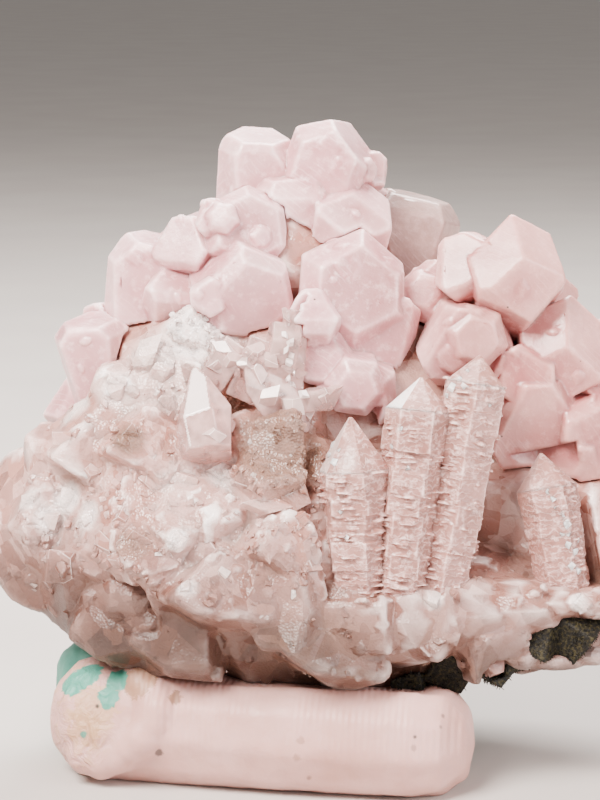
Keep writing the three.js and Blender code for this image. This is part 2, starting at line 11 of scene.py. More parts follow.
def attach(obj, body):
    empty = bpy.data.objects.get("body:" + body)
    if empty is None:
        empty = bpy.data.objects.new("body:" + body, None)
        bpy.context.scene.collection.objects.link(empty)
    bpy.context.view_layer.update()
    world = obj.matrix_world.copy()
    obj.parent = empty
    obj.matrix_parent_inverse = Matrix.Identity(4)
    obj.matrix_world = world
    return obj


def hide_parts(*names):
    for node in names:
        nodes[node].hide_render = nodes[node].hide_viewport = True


# Calcite cluster on a roll of mounting putty
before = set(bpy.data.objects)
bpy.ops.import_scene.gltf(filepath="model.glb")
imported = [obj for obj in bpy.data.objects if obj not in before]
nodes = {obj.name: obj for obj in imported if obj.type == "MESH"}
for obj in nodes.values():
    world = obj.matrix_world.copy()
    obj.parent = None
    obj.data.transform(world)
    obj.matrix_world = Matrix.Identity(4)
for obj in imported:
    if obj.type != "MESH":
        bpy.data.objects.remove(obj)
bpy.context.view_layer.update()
mm = 0.001

# the view of the photograph: 600 x 800, from 10 degrees above
view = {
    "target": (-1.6, -2.36, 29.3),  # mm
    "distance": 220,  # mm
    "elevation": 10,  # degrees
    "lens": 123.75,
    "perPixel": 2750,  # the distance in pixels
    "middle": (300, 400),
}


def toLinear(hexColour):
    channels = [int(hexColour[i:i + 2], 16) / 255 for i in (1, 3, 5)]
    linear = [c / 12.92 if c <= 0.04045 else ((c + 0.055) / 1.055) ** 2.4 for c in channels]
    return (*linear, 1.0)


# adds a node and gives back one of its outputs, or all: what names a setting of the node is set, and any
# other is an input, which is linked to an output or takes a value
def addNode(tree, kind, values, output=0):
    node = tree.nodes.new("ShaderNode" + kind)
    for name, value in values.items():
        if isinstance(name, str) and hasattr(node, name):
            setattr(node, name, value)
        elif isinstance(value, bpy.types.NodeSocket):
            tree.links.new(value, node.inputs[name])
        else:
            node.inputs[name].default_value = toLinear(value) if isinstance(value, str) else value
    return node.outputs if output is None else node.outputs[output]


# an empty material, what adds a node to it, and the object's own coordinates
def newMaterial(name):
    material = bpy.data.materials.new(name)
    material.use_nodes = True
    material.node_tree.nodes.clear()
    add = partial(addNode, material.node_tree)
    return material, add, add("TexCoord", {}, "Object")


# lays tones over a colour: what each depends on, where it starts and where it is full, the most of it, the
# tone, and how it blends where that isn't a plain mix
def layTones(add, colour, layers):
    for driver, start, full, most, tone, *blend in layers:
        share = add("MapRange", {0: driver, 1: start, 2: full, 4: most})
        mixing = {"data_type": "RGBA", "blend_type": blend[0] if blend else "MIX"}
        colour = add("Mix", {**mixing, 0: share, 6: colour, 7: tone}, 2)
    return colour


def pick(*pieces):
    if bpy.context.object and bpy.context.object.mode != "OBJECT":
        bpy.ops.object.mode_set(mode="OBJECT")
    bpy.ops.object.select_all(action="DESELECT")
    for piece in pieces:
        piece.select_set(True)
    bpy.context.view_layer.objects.active = pieces[0]


def applyModifier(piece, kind, **settings):
    pick(piece)
    modifier = piece.modifiers.new(kind.lower(), kind)
    for name, value in settings.items():
        setattr(modifier, name, value)
    bpy.ops.object.modifier_apply(modifier=modifier.name)


def editAll(piece):
    pick(piece)
    bpy.ops.object.mode_set(mode="EDIT")
    bpy.ops.mesh.select_all(action="SELECT")


def copyOfNode(name, newName):
    piece = nodes[name].copy()
    piece.data = nodes[name].data.copy()
    piece.name = newName
    piece.parent = None
    for key in list(piece.keys()):
        del piece[key]
    piece.data.materials.clear()
    linkAll([piece])
    editAll(piece)
    bpy.ops.mesh.remove_doubles(threshold=2e-6)
    bpy.ops.mesh.normals_make_consistent(inside=False)
    bpy.ops.object.mode_set(mode="OBJECT")
    return piece


def linkAll(parts):
    for part in parts:
        bpy.context.scene.collection.objects.link(part)
    return parts


def joinTo(piece, parts):
    if parts:
        pick(piece, *parts)
        bpy.ops.object.join()


def triangles(piece):
    return sum(len(p.vertices) - 2 for p in piece.data.polygons)


# makes one closed skin of overlapping bodies, with edges as soft as the voxels are large
def weld(piece, voxel, smoothing, keep=None):
    applyModifier(piece, "REMESH", mode="VOXEL", voxel_size=voxel * mm)
    applyModifier(piece, "SMOOTH", factor=0.5, iterations=smoothing)
    count = triangles(piece)
    if keep and count > keep:
        applyModifier(piece, "DECIMATE", ratio=keep / count)


def numbersOf(data, name, width=1, kind=np.float32):
    numbers = np.empty(len(data) * width, kind)
    data.foreach_get(name, numbers)
    return numbers.reshape(-1, width)


def positions(piece):
    return numbersOf(piece.data.vertices, "co", 3)


def normalsOf(piece):
    return numbersOf(piece.data.vertex_normals, "vector", 3)


def moveTo(piece, points):
    piece.data.vertices.foreach_set("co", points.astype(np.float32).ravel())
    piece.data.update()


def push(piece, distance):
    moveTo(piece, positions(piece) + normalsOf(piece) * distance * mm)


# moves a skin in and out by a pattern, its size and depth in mm
def displace(piece, kind, size, depth, middle=0.5, **settings):
    texture = bpy.data.textures.new("relief", kind)
    texture.noise_scale = size * mm
    for name, value in settings.items():
        setattr(texture, name, value)
    relief = {"texture": texture, "texture_coords": "LOCAL", "strength": depth * mm, "mid_level": middle}
    applyModifier(piece, "DISPLACE", **relief)


# keeps a number for each point or face, for the materials
def note(piece, name, numbers, domain="POINT"):
    attributes = piece.data.attributes
    attribute = attributes.get(name) or attributes.new(name, "FLOAT", domain)
    attribute.data.foreach_set("value", np.array(numbers, np.float32))


# notes how far each point stands out of the surface around it: rounds of smoothing and reach in mm
def noteRelief(piece, **kinds):
    points = positions(piece).astype(np.float64)
    a, b = numbersOf(piece.data.edges, "vertices", 2, np.int32).T
    count = len(points)
    degree = np.maximum(np.bincount(a, minlength=count) + np.bincount(b, minlength=count), 1)
    for name, (rounds, reach) in kinds.items():
        smooth = points
        for _ in range(rounds):
            around = [np.bincount(a, part[b], count) + np.bincount(b, part[a], count) for part in smooth.T]
            smooth = np.stack(around, 1) / degree[:, None]
        height = ((points - smooth) * normalsOf(piece)).sum(1) / mm
        note(piece, name, np.clip(height / reach * 0.5 + 0.5, 0, 1))


# parts joined after the relief was noted have none of their own, so they take these values
def giveRelief(piece, first, **values):
    for name, value in values.items():
        noted = numbersOf(piece.data.attributes[name].data, "value").ravel()
        noted[first:] = value
        note(piece, name, noted)


def finishPiece(piece, material, slot, *replaced, shading=None):
    piece.data.materials.clear()
    piece.data.materials.append(material)
    pick(piece)
    if shading is None:
        bpy.ops.object.shade_smooth()
    else:
        bpy.ops.object.shade_smooth_by_angle(angle=radians(shading))
    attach(piece, "root")
    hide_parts(*replaced)
    print(f"{piece.name}: {triangles(piece)} triangles")


# Places read from the photograph

elevation = radians(view["elevation"])
towards = Vector((0, cos(elevation), -sin(elevation)))  # the way the camera looks
upward = Vector((0, sin(elevation), cos(elevation)))
target = Vector(view["target"]) * mm
eye = target - towards * view["distance"] * mm


def skinOf(piece):
    return BVHTree.FromObject(piece, bpy.context.evaluated_depsgraph_get())


surfaces = {name: skinOf(node) for name, node in nodes.items()}


def rayThrough(u, v):
    right, above = u - view["middle"][0], view["middle"][1] - v
    return (towards * view["perPixel"] + Vector((1, 0, 0)) * right + upward * above).normalized()


# the point of a node that is seen at a pixel, with its normal, or nothing if something else is in front
def fromPhoto(u, v, name, hidden=False):
    ray = rayThrough(u, v)
    hits = {n: s.ray_cast(eye, ray) for n, s in surfaces.items()}
    found = hits[name]
    if found[0] is None:
        return None
    if not hidden and any(h[0] is not None and h[3] < found[3] - 1e-5 for n, h in hits.items() if n != name):
        return None
    return found[0], found[1]


# random pixels in boxes of the photograph where a node is seen, with the place there, its normal and the
# values of the box
def seenIn(regions, name, chance):
    for (left, top, right, bottom), count, *values in regions:
        for _ in range(count):
            pixel = chance.uniform(left, right), chance.uniform(top, bottom)
            found = fromPhoto(*pixel, name)
            if found:
                yield pixel, *found, *values


# Poses

# the turn that stands the z axis along a direction
def standing(out):
    return Vector((0, 0, 1)).rotation_difference(out)


def spun(angle):
    return Quaternion((0, 0, 1), angle)


def copyAt(template, matrix):
    piece = template.copy()
    piece.data = template.data.copy()
    piece.name = "chip"
    piece.data.transform(matrix)
    return piece


def posedCopy(template, place, turn, sizes):
    pose = Matrix.Translation(place) @ turn.to_matrix().to_4x4() @ Matrix.Diagonal((*sizes, 1))
    return copyAt(template, pose)


# a copy that faces the camera, pushed out by mm, leaned right and up and turned by degrees
def facingCopy(template, place, proud, lean, turn, sizes):
    right, above = (radians(angle) for angle in lean)
    out = (-towards + Vector((1, 0, 0)) * tan(right) + upward * tan(above)).normalized()
    return posedCopy(template, place + out * proud * mm, standing(out) @ spun(radians(turn)), sizes)


# Looks
# Inputs of a node are given by name, or by number where names repeat: a Mix has the share at 0 and the
# colours at 6 and 7, a Map Range the value at 0, its range at 1 and 2 and the new range at 3 and 4

calcite = {
    "ior": 1.6,  # calcite is 1.49 to 1.66
    "scatter": (1.0, 0.82, 0.76),  # red light goes furthest, so thin edges and recesses warm up
}


# frosted blocky calcite: milky and pale pink, so light sinks in and faces look soft, with edges that catch it
def blockyCalcite(name, look):
    material, add, point = newMaterial(name)
    sizes = [(look["cloud"], 4, 0.6), (0.7, 4, 0.65), (3, 1, 0.5), (0.16, 2, 0.5)]  # mm, detail, roughness
    cloud, haze, patches, grain = [
        add("TexNoise", {"Vector": point, "Scale": 1 / (size * mm), "Detail": detail, "Roughness": rough})
        for size, detail, rough in sizes
    ]
    kept = ("broad", "fine", "bright")
    broad, fine, flash = [add("Attribute", {"attribute_name": key}, "Fac") for key in kept]
    facetLight = add("TexNoise", {"Vector": add("TexCoord", {}, "Normal"), "Scale": 1.6, "Detail": 1})
    turned = add("LayerWeight", {"Blend": 0.3}, "Facing")
    across = add("SeparateXYZ", {0: point}, "X")
    # painted highlight: whitish hair-thin edges, broken up in places
    edge = add("MapRange", {0: fine, 1: 0.6, 2: 0.95, 4: look["edge"]})
    highlightPatches = add("MapRange", {0: haze, 1: 0.35, 2: 0.6, 3: 0.25})
    edge = add("Math", {"operation": "MULTIPLY", 0: edge, 1: highlightPatches})
    # growth steps: thin parallel lines in patches
    lines = add("TexWave", {
        "bands_direction": look["lines"], "Vector": point, "Scale": 0.314 / (look["lineSpacing"] * mm),
        "Distortion": look["squiggle"], "Detail": 2, "Detail Scale": look["squiggleScale"],
    }, "Fac")
    line = add("MapRange", {0: lines, 1: 0.75, 2: 1})
    patch = add("MapRange", {0: patches, 1: look["linedFrom"], 2: look["linedFrom"] + 0.1})
    lined = add("Math", {"operation": "MULTIPLY", 0: line, 1: patch})
    # a few dark specks, about 0.15 mm across
    specks = add("TexVoronoi", {"Vector": point, "Scale": 1 / (3 * mm)}, None)
    near = add("MapRange", {0: specks["Distance"], 1: 0.034, 2: 0.022})
    some = add("Math", {"operation": "GREATER_THAN", 0: add("SeparateColor", {0: specks["Color"]}), 1: 0.6})
    speck = add("Math", {"operation": "MULTIPLY", 0: near, 1: some})
    rim = look["rim"]
    colour = layTones(add, look["body"], [
        (cloud, 0.38, 0.64, 1, look["veil"]),
        (facetLight, 0.5, 0.66, 0.6, look["shade"]),  # painted light and shade: each face has its own tone, read from the way it faces
        # painted light: faces that point the other way turn paler
        (facetLight, 0.48, 0.34, 0.6, look["veil"]),
        # painted shade in the recesses
        (broad, 0.42, 0.1, 1, look["recessShade"]),
        # painted highlight along the edges
        (edge, 0, 1, 1, rim),
        (broad, 0.54, 0.8, look["halo"], rim),  # a pale border along the edges, where light leaks out
        # painted highlight: faces and bevels marked bright flash white
        (flash, 0, 1, 1, "#fffaf9"),
        (haze, 0.52, 0.72, look["wisp"], rim),
        (turned, 0.55, 1, 0.6, rim),  # light gathers where a crystal turns away
        (lined, 0, 1, look["lineShare"], rim),
        (across, 1 * mm, 12 * mm, look["warmthAndShade"], "#dcc1b9", "MULTIPLY"),  # darker and warmer on the right: partly the crystals' own warmer tone, partly painted shade
        (speck, 0, 1, 1, "#4d3b33"),
    ])
    # etched surface: shallow pits, fine grain, the steps and slow swells
    height = add("TexVoronoi", {"Vector": point, "Scale": 1 / (look["pit"] * mm)}, "Distance")
    for relief, share in ((grain, 1), (lined, look["lineRelief"]), (haze, 5)):
        height = add("Math", {"operation": "MULTIPLY_ADD", 0: relief, 1: share, 2: height})
    bump = add("Bump", {"Height": height, "Distance": look["relief"] * mm, "Strength": 0.7})
    rough = add("MapRange", {0: patches, 1: 0.35, 2: 0.65, 3: look["gloss"][0], 4: look["gloss"][1]})
    shader = add("BsdfPrincipled", {
        "Base Color": colour, "Roughness": rough, "Normal": bump, "IOR": calcite["ior"],
        "Subsurface Weight": look["glow"], "Subsurface Radius": calcite["scatter"],
        "Subsurface Scale": look["depth"] * mm,
        "Coat Weight": look["film"], "Coat Roughness": 0.15, "Coat IOR": 1.5,
    })
    add("OutputMaterial", {"Surface": shader}, None)
    return material


pinkLook = {
    "body": "#bd8388", "veil": "#d09da1", "shade": "#ae8382", "recessShade": "#b08c84", "rim": "#fbe2e3",
    "cloud": 1.8, "pit": 0.22, "relief": 0.014, "warmthAndShade": 1, "edge": 0.4, "wisp": 0.5, "halo": 0.5,
    "lines": "DIAGONAL", "lineSpacing": 0.35, "squiggle": 4, "squiggleScale": 0.6, "linedFrom": 0.54,
    "lineShare": 0.22, "lineRelief": 1, "gloss": (0.3, 0.46), "glow": 0.9, "depth": 0.8, "film": 0.25,
}
greyLook = {
    **pinkLook,
    "body": "#7f5c55", "veil": "#94736b", "shade": "#7a5851", "recessShade": "#684e41", "rim": "#c2a8a3",
    "cloud": 2.2, "pit": 0.25, "warmthAndShade": 0, "edge": 0.5, "wisp": 0.3, "halo": 0.3,
    "lineSpacing": 0.4, "gloss": (0.28, 0.42), "glow": 0.8, "film": 0.3,
}
# the columns have fine wavy steps across them, all the way down
columnLook = {
    "body": "#90635a", "veil": "#a87a71", "shade": "#855f56", "recessShade": "#7a5b4f", "rim": "#f7d9d3",
    "cloud": 1.1, "pit": 0.3, "relief": 0.02, "warmthAndShade": 0, "edge": 0.9, "wisp": 0.6, "halo": 0.3,
    "lines": "Z", "lineSpacing": 0.5, "squiggle": 9, "squiggleScale": 2.2, "linedFrom": 0.36,
    "lineShare": 0.28, "lineRelief": 3, "gloss": (0.3, 0.5), "glow": 0.7, "depth": 0.6, "film": 0.1,
}
frostedPink = blockyCalcite("frosted pink calcite", pinkLook)
greyCalcite = blockyCalcite("grey calcite crust", greyLook)
steppedCalcite = blockyCalcite("stepped column calcite", columnLook)


# massive calcite: broken and sugary, tan with painted shade in its recesses, whiter where it is bruised or
# finely broken, and with painted highlights along its edges
massLook = {
    # plain and bright tone of the pale upper part and of the lower flank, which is warm and darkened by
    # painted shade
    "upper": ("#ae8075", "#cea79f"), "lower": ("#492f24", "#6c4d3f"),
    "recessShade": "#7a5d50", "rim": "#fff2ef", "shade": "#cfaa9b", "amberAndShade": "#785c4d", "dusk": "#cdb8ae",
    "heights": (16, 28),  # mm, where the lower flank, warm and darkened by painted shade, turns pale
    "wander": 9,  # mm that this border wanders up and down
    "rightDrop": 5,  # mm that it runs lower on the right
    "grain": 2.0, "facet": 0.6, "relief": 0.12, "glow": 0.36,
    "lean": 0.6,  # how far the flats of each grain lean their own way
    "flats": 0.4,  # how coarsely the directions of the flats differ
    "flat": 0.9,  # how flat they are
}


def massiveCalcite(look):
    material, add, point = newMaterial("massive broken calcite")
    across, _, height = add("SeparateXYZ", {0: point}, None)
    wander = add("TexNoise", {"Vector": point, "Scale": 1 / (6 * mm), "Detail": 3})
    level = add("Math", {"operation": "MULTIPLY_ADD", 0: wander, 1: look["wander"] * mm, 2: height})
    drop = add("MapRange", {0: across, 1: 0, 2: 25 * mm, 4: look["rightDrop"] * mm})
    level = add("Math", {"operation": "ADD", 0: level, 1: drop})
    low, high = (h * mm for h in look["heights"])
    level = add("MapRange", {0: level, 1: low, 2: high})
    # the lower flank is partly its own warm tone, partly painted shade
    plain, bright = [
        add("Mix", {"data_type": "RGBA", 0: level, 6: below, 7: above}, 2)
        for below, above in zip(look["lower"], look["upper"])
    ]
    cells = add("TexVoronoi", {"Vector": point, "Scale": 1 / (look["grain"] * mm)}, "Color")
    tone = add("SeparateColor", {0: cells})
    # it breaks in flats: within a grain, what faces nearly the same way faces exactly the same way
    normal = add("TexCoord", {}, "Normal")
    lean = add("VectorMath", {"operation": "SUBTRACT", 0: cells, 1: (0.5, 0.5, 0.5)})
    flat = add("VectorMath", {"operation": "MULTIPLY_ADD", 0: lean, 1: [look["lean"]] * 3, 2: normal})
    for operation, amount in (("ADD", look["flats"] / 2), ("SNAP", look["flats"]), ("NORMALIZE", 0)):
        flat = add("VectorMath", {"operation": operation, 0: flat, 1: [amount] * 3})
    broken = add("Mix", {"data_type": "VECTOR", 0: look["flat"], 4: normal, 5: flat}, 1)
    facetLight = add("TexNoise", {"Vector": broken, "Scale": 2.4, "Detail": 1})
    kept = ("broad", "fine", "bright", "spots")
    broad, fine, flash, spot = [add("Attribute", {"attribute_name": key}, "Fac") for key in kept]
    # edges turn white, partly bruised and partly a painted highlight that is stronger higher up, where more
    # light falls, and more so near the white patches, which are white themselves
    patchy = add("MapRange", {0: wander, 1: 0.42, 2: 0.62, 3: 0.15, 4: 0.7})
    nearWhite = add("MapRange", {0: spot, 1: 0.2, 2: 0.8, 3: -1, 4: 1})
    bruiseAndHighlight = add("Math", {"operation": "ADD", "use_clamp": True, 0: patchy, 1: nearWhite})
    upper = add("MapRange", {0: level, 3: 0.25, 4: 1})
    edge = add("MapRange", {0: fine, 1: 0.6, 2: 0.95})
    for share in (bruiseAndHighlight, upper):
        edge = add("Math", {"operation": "MULTIPLY", 0: edge, 1: share})
    # painted highlights on plates and bevels, broken up from grain to grain
    highlightPatches = add("MapRange", {0: tone, 1: 0.3, 2: 0.9, 4: 0.8})
    flash = add("Math", {"operation": "MULTIPLY", 0: flash, 1: highlightPatches})
    whiteAndGlint = add("MapRange", {0: spot, 1: 0.5, 2: 1, 4: 0.9})
    for other in (edge, flash):
        whiteAndGlint = add("Math", {"operation": "MAXIMUM", 0: whiteAndGlint, 1: other})
    lowDown = add("MapRange", {0: height, 1: 19 * mm, 2: 13 * mm})
    left = add("MapRange", {0: across, 1: -3 * mm, 2: -12 * mm})
    dusk = add("Math", {"operation": "MULTIPLY", 0: lowDown, 1: left})
    colour = layTones(add, plain, [
        (tone, 0.3, 1, 0.5, bright),  # grains and facets of the break differ in tone
        # painted light and shade: each flat is darker or paler by the way it faces
        (facetLight, 0.52, 0.66, 0.6, look["shade"], "MULTIPLY"),
        (facetLight, 0.46, 0.34, 0.8, bright),
        # painted shade in the recesses
        (broad, 0.42, 0.1, 0.65, look["recessShade"]),
        # amber in the granular patches, painted shade in a hole, a cavity and a gap
        (spot, 0.5, 0, 1, look["amberAndShade"]),
        # white patches, with the painted highlights on edges and plates
        (whiteAndGlint, 0, 1, 1, look["rim"]),
        (dusk, 0, 1, 1, look["dusk"], "MULTIPLY"),  # painted shade: darker low on the left
    ])
    # small cleavage facets: each cell is a flat that leans its own way
    scaled = add("VectorMath", {"operation": "SCALE", 0: point, "Scale": 1 / (look["facet"] * mm)})
    facets = add("TexVoronoi", {"Vector": scaled, "Scale": 1}, None)
    fromCell = add("VectorMath", {"operation": "SUBTRACT", 0: scaled, 1: facets["Position"]})
    lean = add("VectorMath", {"operation": "SUBTRACT", 0: facets["Color"], 1: (0.5, 0.5, 0.5)})
    slope = add("VectorMath", {"operation": "DOT_PRODUCT", 0: fromCell, 1: lean}, "Value")
    # sugary grain, most of all in the patches
    sugar = add("TexVoronoi", {"Vector": point, "Scale": 1 / (0.2 * mm)}, "Distance")
    patch = add("Math", {"operation": "SUBTRACT", 0: spot, 1: 0.5})
    patch = add("Math", {"operation": "ABSOLUTE", 0: patch})
    grainy = add("MapRange", {0: patch, 1: 0.05, 2: 0.4, 3: 0.25, 4: 0.6})
    relief = add("Math", {"operation": "MULTIPLY_ADD", 0: sugar, 1: grainy, 2: slope})
    bump = add("Bump", {"Height": relief, "Distance": look["relief"] * mm, "Strength": 0.9, "Normal": broken})
    shine = add("MapRange", {0: tone, 3: 0.4, 4: 0.14})
    shine = add("Math", {"operation": "MULTIPLY", 0: shine, 1: upper})
    rough = add("Math", {"operation": "SUBTRACT", 0: 0.56, 1: shine})
    shader = add("BsdfPrincipled", {
        "Base Color": colour, "Roughness": rough, "Normal": bump, "IOR": calcite["ior"],
        "Subsurface Weight": look["glow"], "Subsurface Radius": calcite["scatter"],
        "Subsurface Scale": 0.7 * mm,
    })
    add("OutputMaterial", {"Surface": shader}, None)
    return material


brokenMass = massiveCalcite(massLook)

# clear calcite: glass-like and faintly pink, so what is behind shows, with milky veils on old breaks
clearLook = {
    "tint": "#f5d2cc", "rim": "#fff4f2", "absorb": "#f1cfc6", "density": 260, "roughness": (0.05, 0.15),
    "clear": (0.72, 0.48),  # transmission where it is clear and where it is milky
}


def clearCalcite(look):
    material, add, point = newMaterial("clear calcite")
    veils = add("TexNoise", {"Vector": point, "Scale": 1 / (1.4 * mm), "Detail": 3})
    flash = add("Attribute", {"attribute_name": "bright"}, "Fac")
    # painted highlight: faces marked bright turn white and let less light through
    colour = layTones(add, look["tint"], [(flash, 0, 1, 1, look["rim"])])
    rough = add("MapRange", {0: veils, 1: 0.4, 2: 0.65, 3: look["roughness"][0], 4: look["roughness"][1]})
    ripples = add("TexNoise", {"Vector": point, "Scale": 1 / (0.6 * mm), "Detail": 2})
    bump = add("Bump", {"Height": ripples, "Distance": 0.02 * mm, "Strength": 0.6})
    milky = add("MapRange", {0: veils, 1: 0.36, 2: 0.62, 3: look["clear"][0], 4: look["clear"][1]})
    shader = add("BsdfPrincipled", {
        "Base Color": colour, "Roughness": rough, "Normal": bump, "IOR": calcite["ior"],
        "Transmission Weight": add("Mix", {"data_type": "FLOAT", 0: flash, 2: milky, 3: 0.1}),
        "Coat Weight": 0.15, "Coat Roughness": 0.05, "Coat IOR": 1.5,
    })
    inside = add("VolumeAbsorption", {"Color": look["absorb"], "Density": look["density"]})
    add("OutputMaterial", {"Surface": shader, "Volume": inside}, None)
    return material


glassCalcite = clearCalcite(clearLook)


# olive-black fibrous mineral, also used as a painted shadow under the stone: dark bundles that swallow light,
# with browner fibres in between
def fibreAndShadowLook():
    material, add, point = newMaterial("olive fibrous mineral and painted shadow")
    noise = add("TexNoise", {"Vector": point, "Scale": 1 / (0.25 * mm), "Detail": 4})
    colour = layTones(add, "#070603", [(noise, 0.46, 0.68, 1, "#332e18")])
    fibres = add("TexNoise", {"Vector": point, "Scale": 1 / (0.12 * mm), "Detail": 1})
    bump = add("Bump", {"Height": fibres, "Distance": 0.12 * mm, "Strength": 0.9})
    surface = {"Base Color": colour, "Roughness": 0.6, "Normal": bump, "Specular IOR Level": 0.25}
    add("OutputMaterial", {"Surface": add("BsdfPrincipled", surface)}, None)
    return material


fibreAndShadow = fibreAndShadowLook()

# kneaded putty: dull with a soft sheen, pale with finger ridges, small stains and one end folded with teal
paleLook = {
    "body": "#cca29b", "shade": "#b78a80", "cream": "#bb9675",
    "ridge": 0.5,  # mm between finger ridges
    "roll": (-4.7, -8.6, 4.0),  # its middle
    "turn": -9,  # degrees that it is turned
    "folded": (-20.2, -8.2, 4.6),  # where the left end is folded in
    "reach": 5.4,  # mm that the fold reaches
    "border": 0.8,  # mm, half the width of its soft border
}
# marks on the roll: pixel, radius in mm, colour, how strong and how frayed
puttyMarks = [
    ((92, 708), 2.0, "#be9b79", 0.6, 1.8),  # cream smears
    ((84, 728), 1.3, "#b48d68", 0.6, 1.6),
    ((138, 681), 1.3, "#8b6848", 0.7, 1.2),
    ((74, 682), 1.3, "#4e9584", 1.0, 0.6),  # teal, folded in
    ((88, 673), 1.2, "#4e9584", 1.0, 0.5),
    ((118, 680), 1.0, "#448b7a", 1.0, 0.4),
    ((108, 697), 0.9, "#448b7a", 1.0, 0.5),
    ((83, 734), 0.3, "#448b7a", 0.9, 0.3),
    ((97, 706), 0.14, "#342720", 0.9, 0.1),
    ((176, 698), 0.55, "#725135", 0.75, 0.7),  # stains
    ((159, 753), 0.34, "#43342d", 0.8, 0.3),
    ((301, 740), 0.3, "#8b6453", 0.5, 0.4),
    ((298, 758), 0.3, "#8b6453", 0.5, 0.4),
    ((309, 778), 0.2, "#64473b", 0.6, 0.2),
    ((415, 737), 0.12, "#2a211c", 0.9, 0.05),
    ((414, 748), 0.22, "#7f665e", 0.5, 0.3),
    ((443, 716), 0.16, "#4b3b34", 0.6, 0.1),
    ((441, 727), 0.14, "#4b3b34", 0.6, 0.1),
]


def kneadedPutty(look, roll):
    material, add, point = newMaterial("pale mounting putty")
    # size in mm, detail, roughness and distortion
    sizes = [(5, 3, 0.5, 0), (1.5, 4, 0.5, 1.6), (0.8, 4, 0.5, 1), (7, 1, 0.5, 0), (1.2, 4, 0.6, 0)]
    blotch, swirl, frayed, pressed, kneaded = [
        add("TexNoise", {
            "Vector": point, "Scale": 1 / (size * mm), "Detail": detail, "Roughness": rough,
            "Distortion": bent,
        })
        for size, detail, rough, bent in sizes
    ]
    # the folded end: brown and cream smears, with teal from the other putty
    fold = [c * mm for c in look["folded"]]
    away = add("VectorMath", {"operation": "DISTANCE", 0: point, 1: fold}, "Value")
    outer, inner = ((look["reach"] + side * look["border"]) * mm for side in (1, -1))
    folded = add("MapRange", {0: away, 1: outer, 2: inner})
    creamy = add("MapRange", {0: swirl, 1: 0.46, 2: 0.62, 4: 0.6})
    creamy = add("Math", {"operation": "MULTIPLY", 0: creamy, 1: folded})
    layers = [(blotch, 0.35, 0.7, 1, look["shade"]), (creamy, 0, 1, 1, look["cream"])]
    skin = skinOf(roll)
    for pixel, radius, tone, strength, fray in puttyMarks:
        place = skin.ray_cast(eye, rayThrough(*pixel))[0]
        if place:
            away = add("VectorMath", {"operation": "DISTANCE", 0: point, 1: place}, "Value")
            away = add("Math", {"operation": "MULTIPLY_ADD", 0: frayed, 1: fray * 2 * mm, 2: away})
            edge = radius + fray
            layers.append((away, (edge + 0.08) * mm, (edge - 0.08) * mm, strength, tone))
    colour = layTones(add, look["body"], layers)
    # finger ridges cross the roll on its upper side, in patches
    along = add("Mapping", {
        "vector_type": "TEXTURE", "Vector": point, "Location": [c * mm for c in look["roll"]],
        "Rotation": (0, 0, radians(look["turn"])),
    })
    ridges = add("TexWave", {
        "bands_direction": "X", "Vector": along, "Scale": 0.314 / (look["ridge"] * mm), "Distortion": 1.2,
        "Detail": 1, "Detail Scale": 0.3,
    }, "Fac")
    height = add("SeparateXYZ", {0: point}, "Z")
    for driver, start, full in ((pressed, 0.4, 0.55), (height, 3 * mm, 5 * mm)):
        share = add("MapRange", {0: driver, 1: start, 2: full})
        ridges = add("Math", {"operation": "MULTIPLY", 0: ridges, 1: share})
    creased = add("Math", {"operation": "MULTIPLY", 0: folded, 1: swirl})
    relief = ridges
    for part, amount in ((kneaded, 2.2), (creased, 12)):
        relief = add("Math", {"operation": "MULTIPLY_ADD", 0: part, 1: amount, 2: relief})
    bump = add("Bump", {"Height": relief, "Distance": 0.06 * mm, "Strength": 0.7})
    rough = add("MapRange", {0: kneaded, 1: 0.3, 2: 0.7, 3: 0.42, 4: 0.58})
    shader = add("BsdfPrincipled", {
        "Base Color": colour, "Roughness": rough, "Normal": bump, "IOR": 1.5,
        "Subsurface Weight": 0.5, "Subsurface Radius": (1.0, 0.7, 0.55), "Subsurface Scale": 0.7 * mm,
    })
    add("OutputMaterial", {"Surface": shader}, None)
    return material


# teal putty: dull, kneaded, a little lighter in blotches
def tealPutty():
    material, add, point = newMaterial("teal mounting putty")
    blotch = add("TexNoise", {"Vector": point, "Scale": 1 / (3 * mm), "Detail": 4})
    colour = layTones(add, "#478577", [(blotch, 0.35, 0.7, 1, "#68a292")])
    kneaded = add("TexNoise", {"Vector": point, "Scale": 1 / (0.9 * mm), "Detail": 4, "Roughness": 0.6})
    bump = add("Bump", {"Height": kneaded, "Distance": 0.12 * mm, "Strength": 0.6})
    shader = add("BsdfPrincipled", {
        "Base Color": colour, "Roughness": add("MapRange", {0: blotch, 1: 0.3, 2: 0.7, 3: 0.5, 4: 0.65}),
        "Normal": bump, "IOR": 1.5,
        "Subsurface Weight": 0.3, "Subsurface Radius": (0.6, 0.8, 0.7), "Subsurface Scale": 0.6 * mm,
    })
    add("OutputMaterial", {"Surface": shader}, None)
    return material


print("materials made")

# Templates, made once and copied


def primitive(add, **settings):
    bpy.ops.object.select_all(action="DESELECT")
    add(**settings)
    return bpy.context.object


def setAside(piece):
    bpy.ops.object.mode_set(mode="OBJECT")
    bpy.context.scene.collection.objects.unlink(piece)
    return piece


# cuts off what lies beyond a plane and closes the cut
def cutOff(place, out):
    bpy.ops.mesh.select_all(action="SELECT")
    bpy.ops.mesh.bisect(plane_co=place, plane_no=out, use_fill=True, clear_outer=True, threshold=1e-7)


slabShape = {
    "count": 10, "cube": 1.2247, "squash": 0.7, "thickness": (0.45, 0.6), "seed": 3,
    "top": 0.28,  # how far its top is above its middle, as a share of its size
}


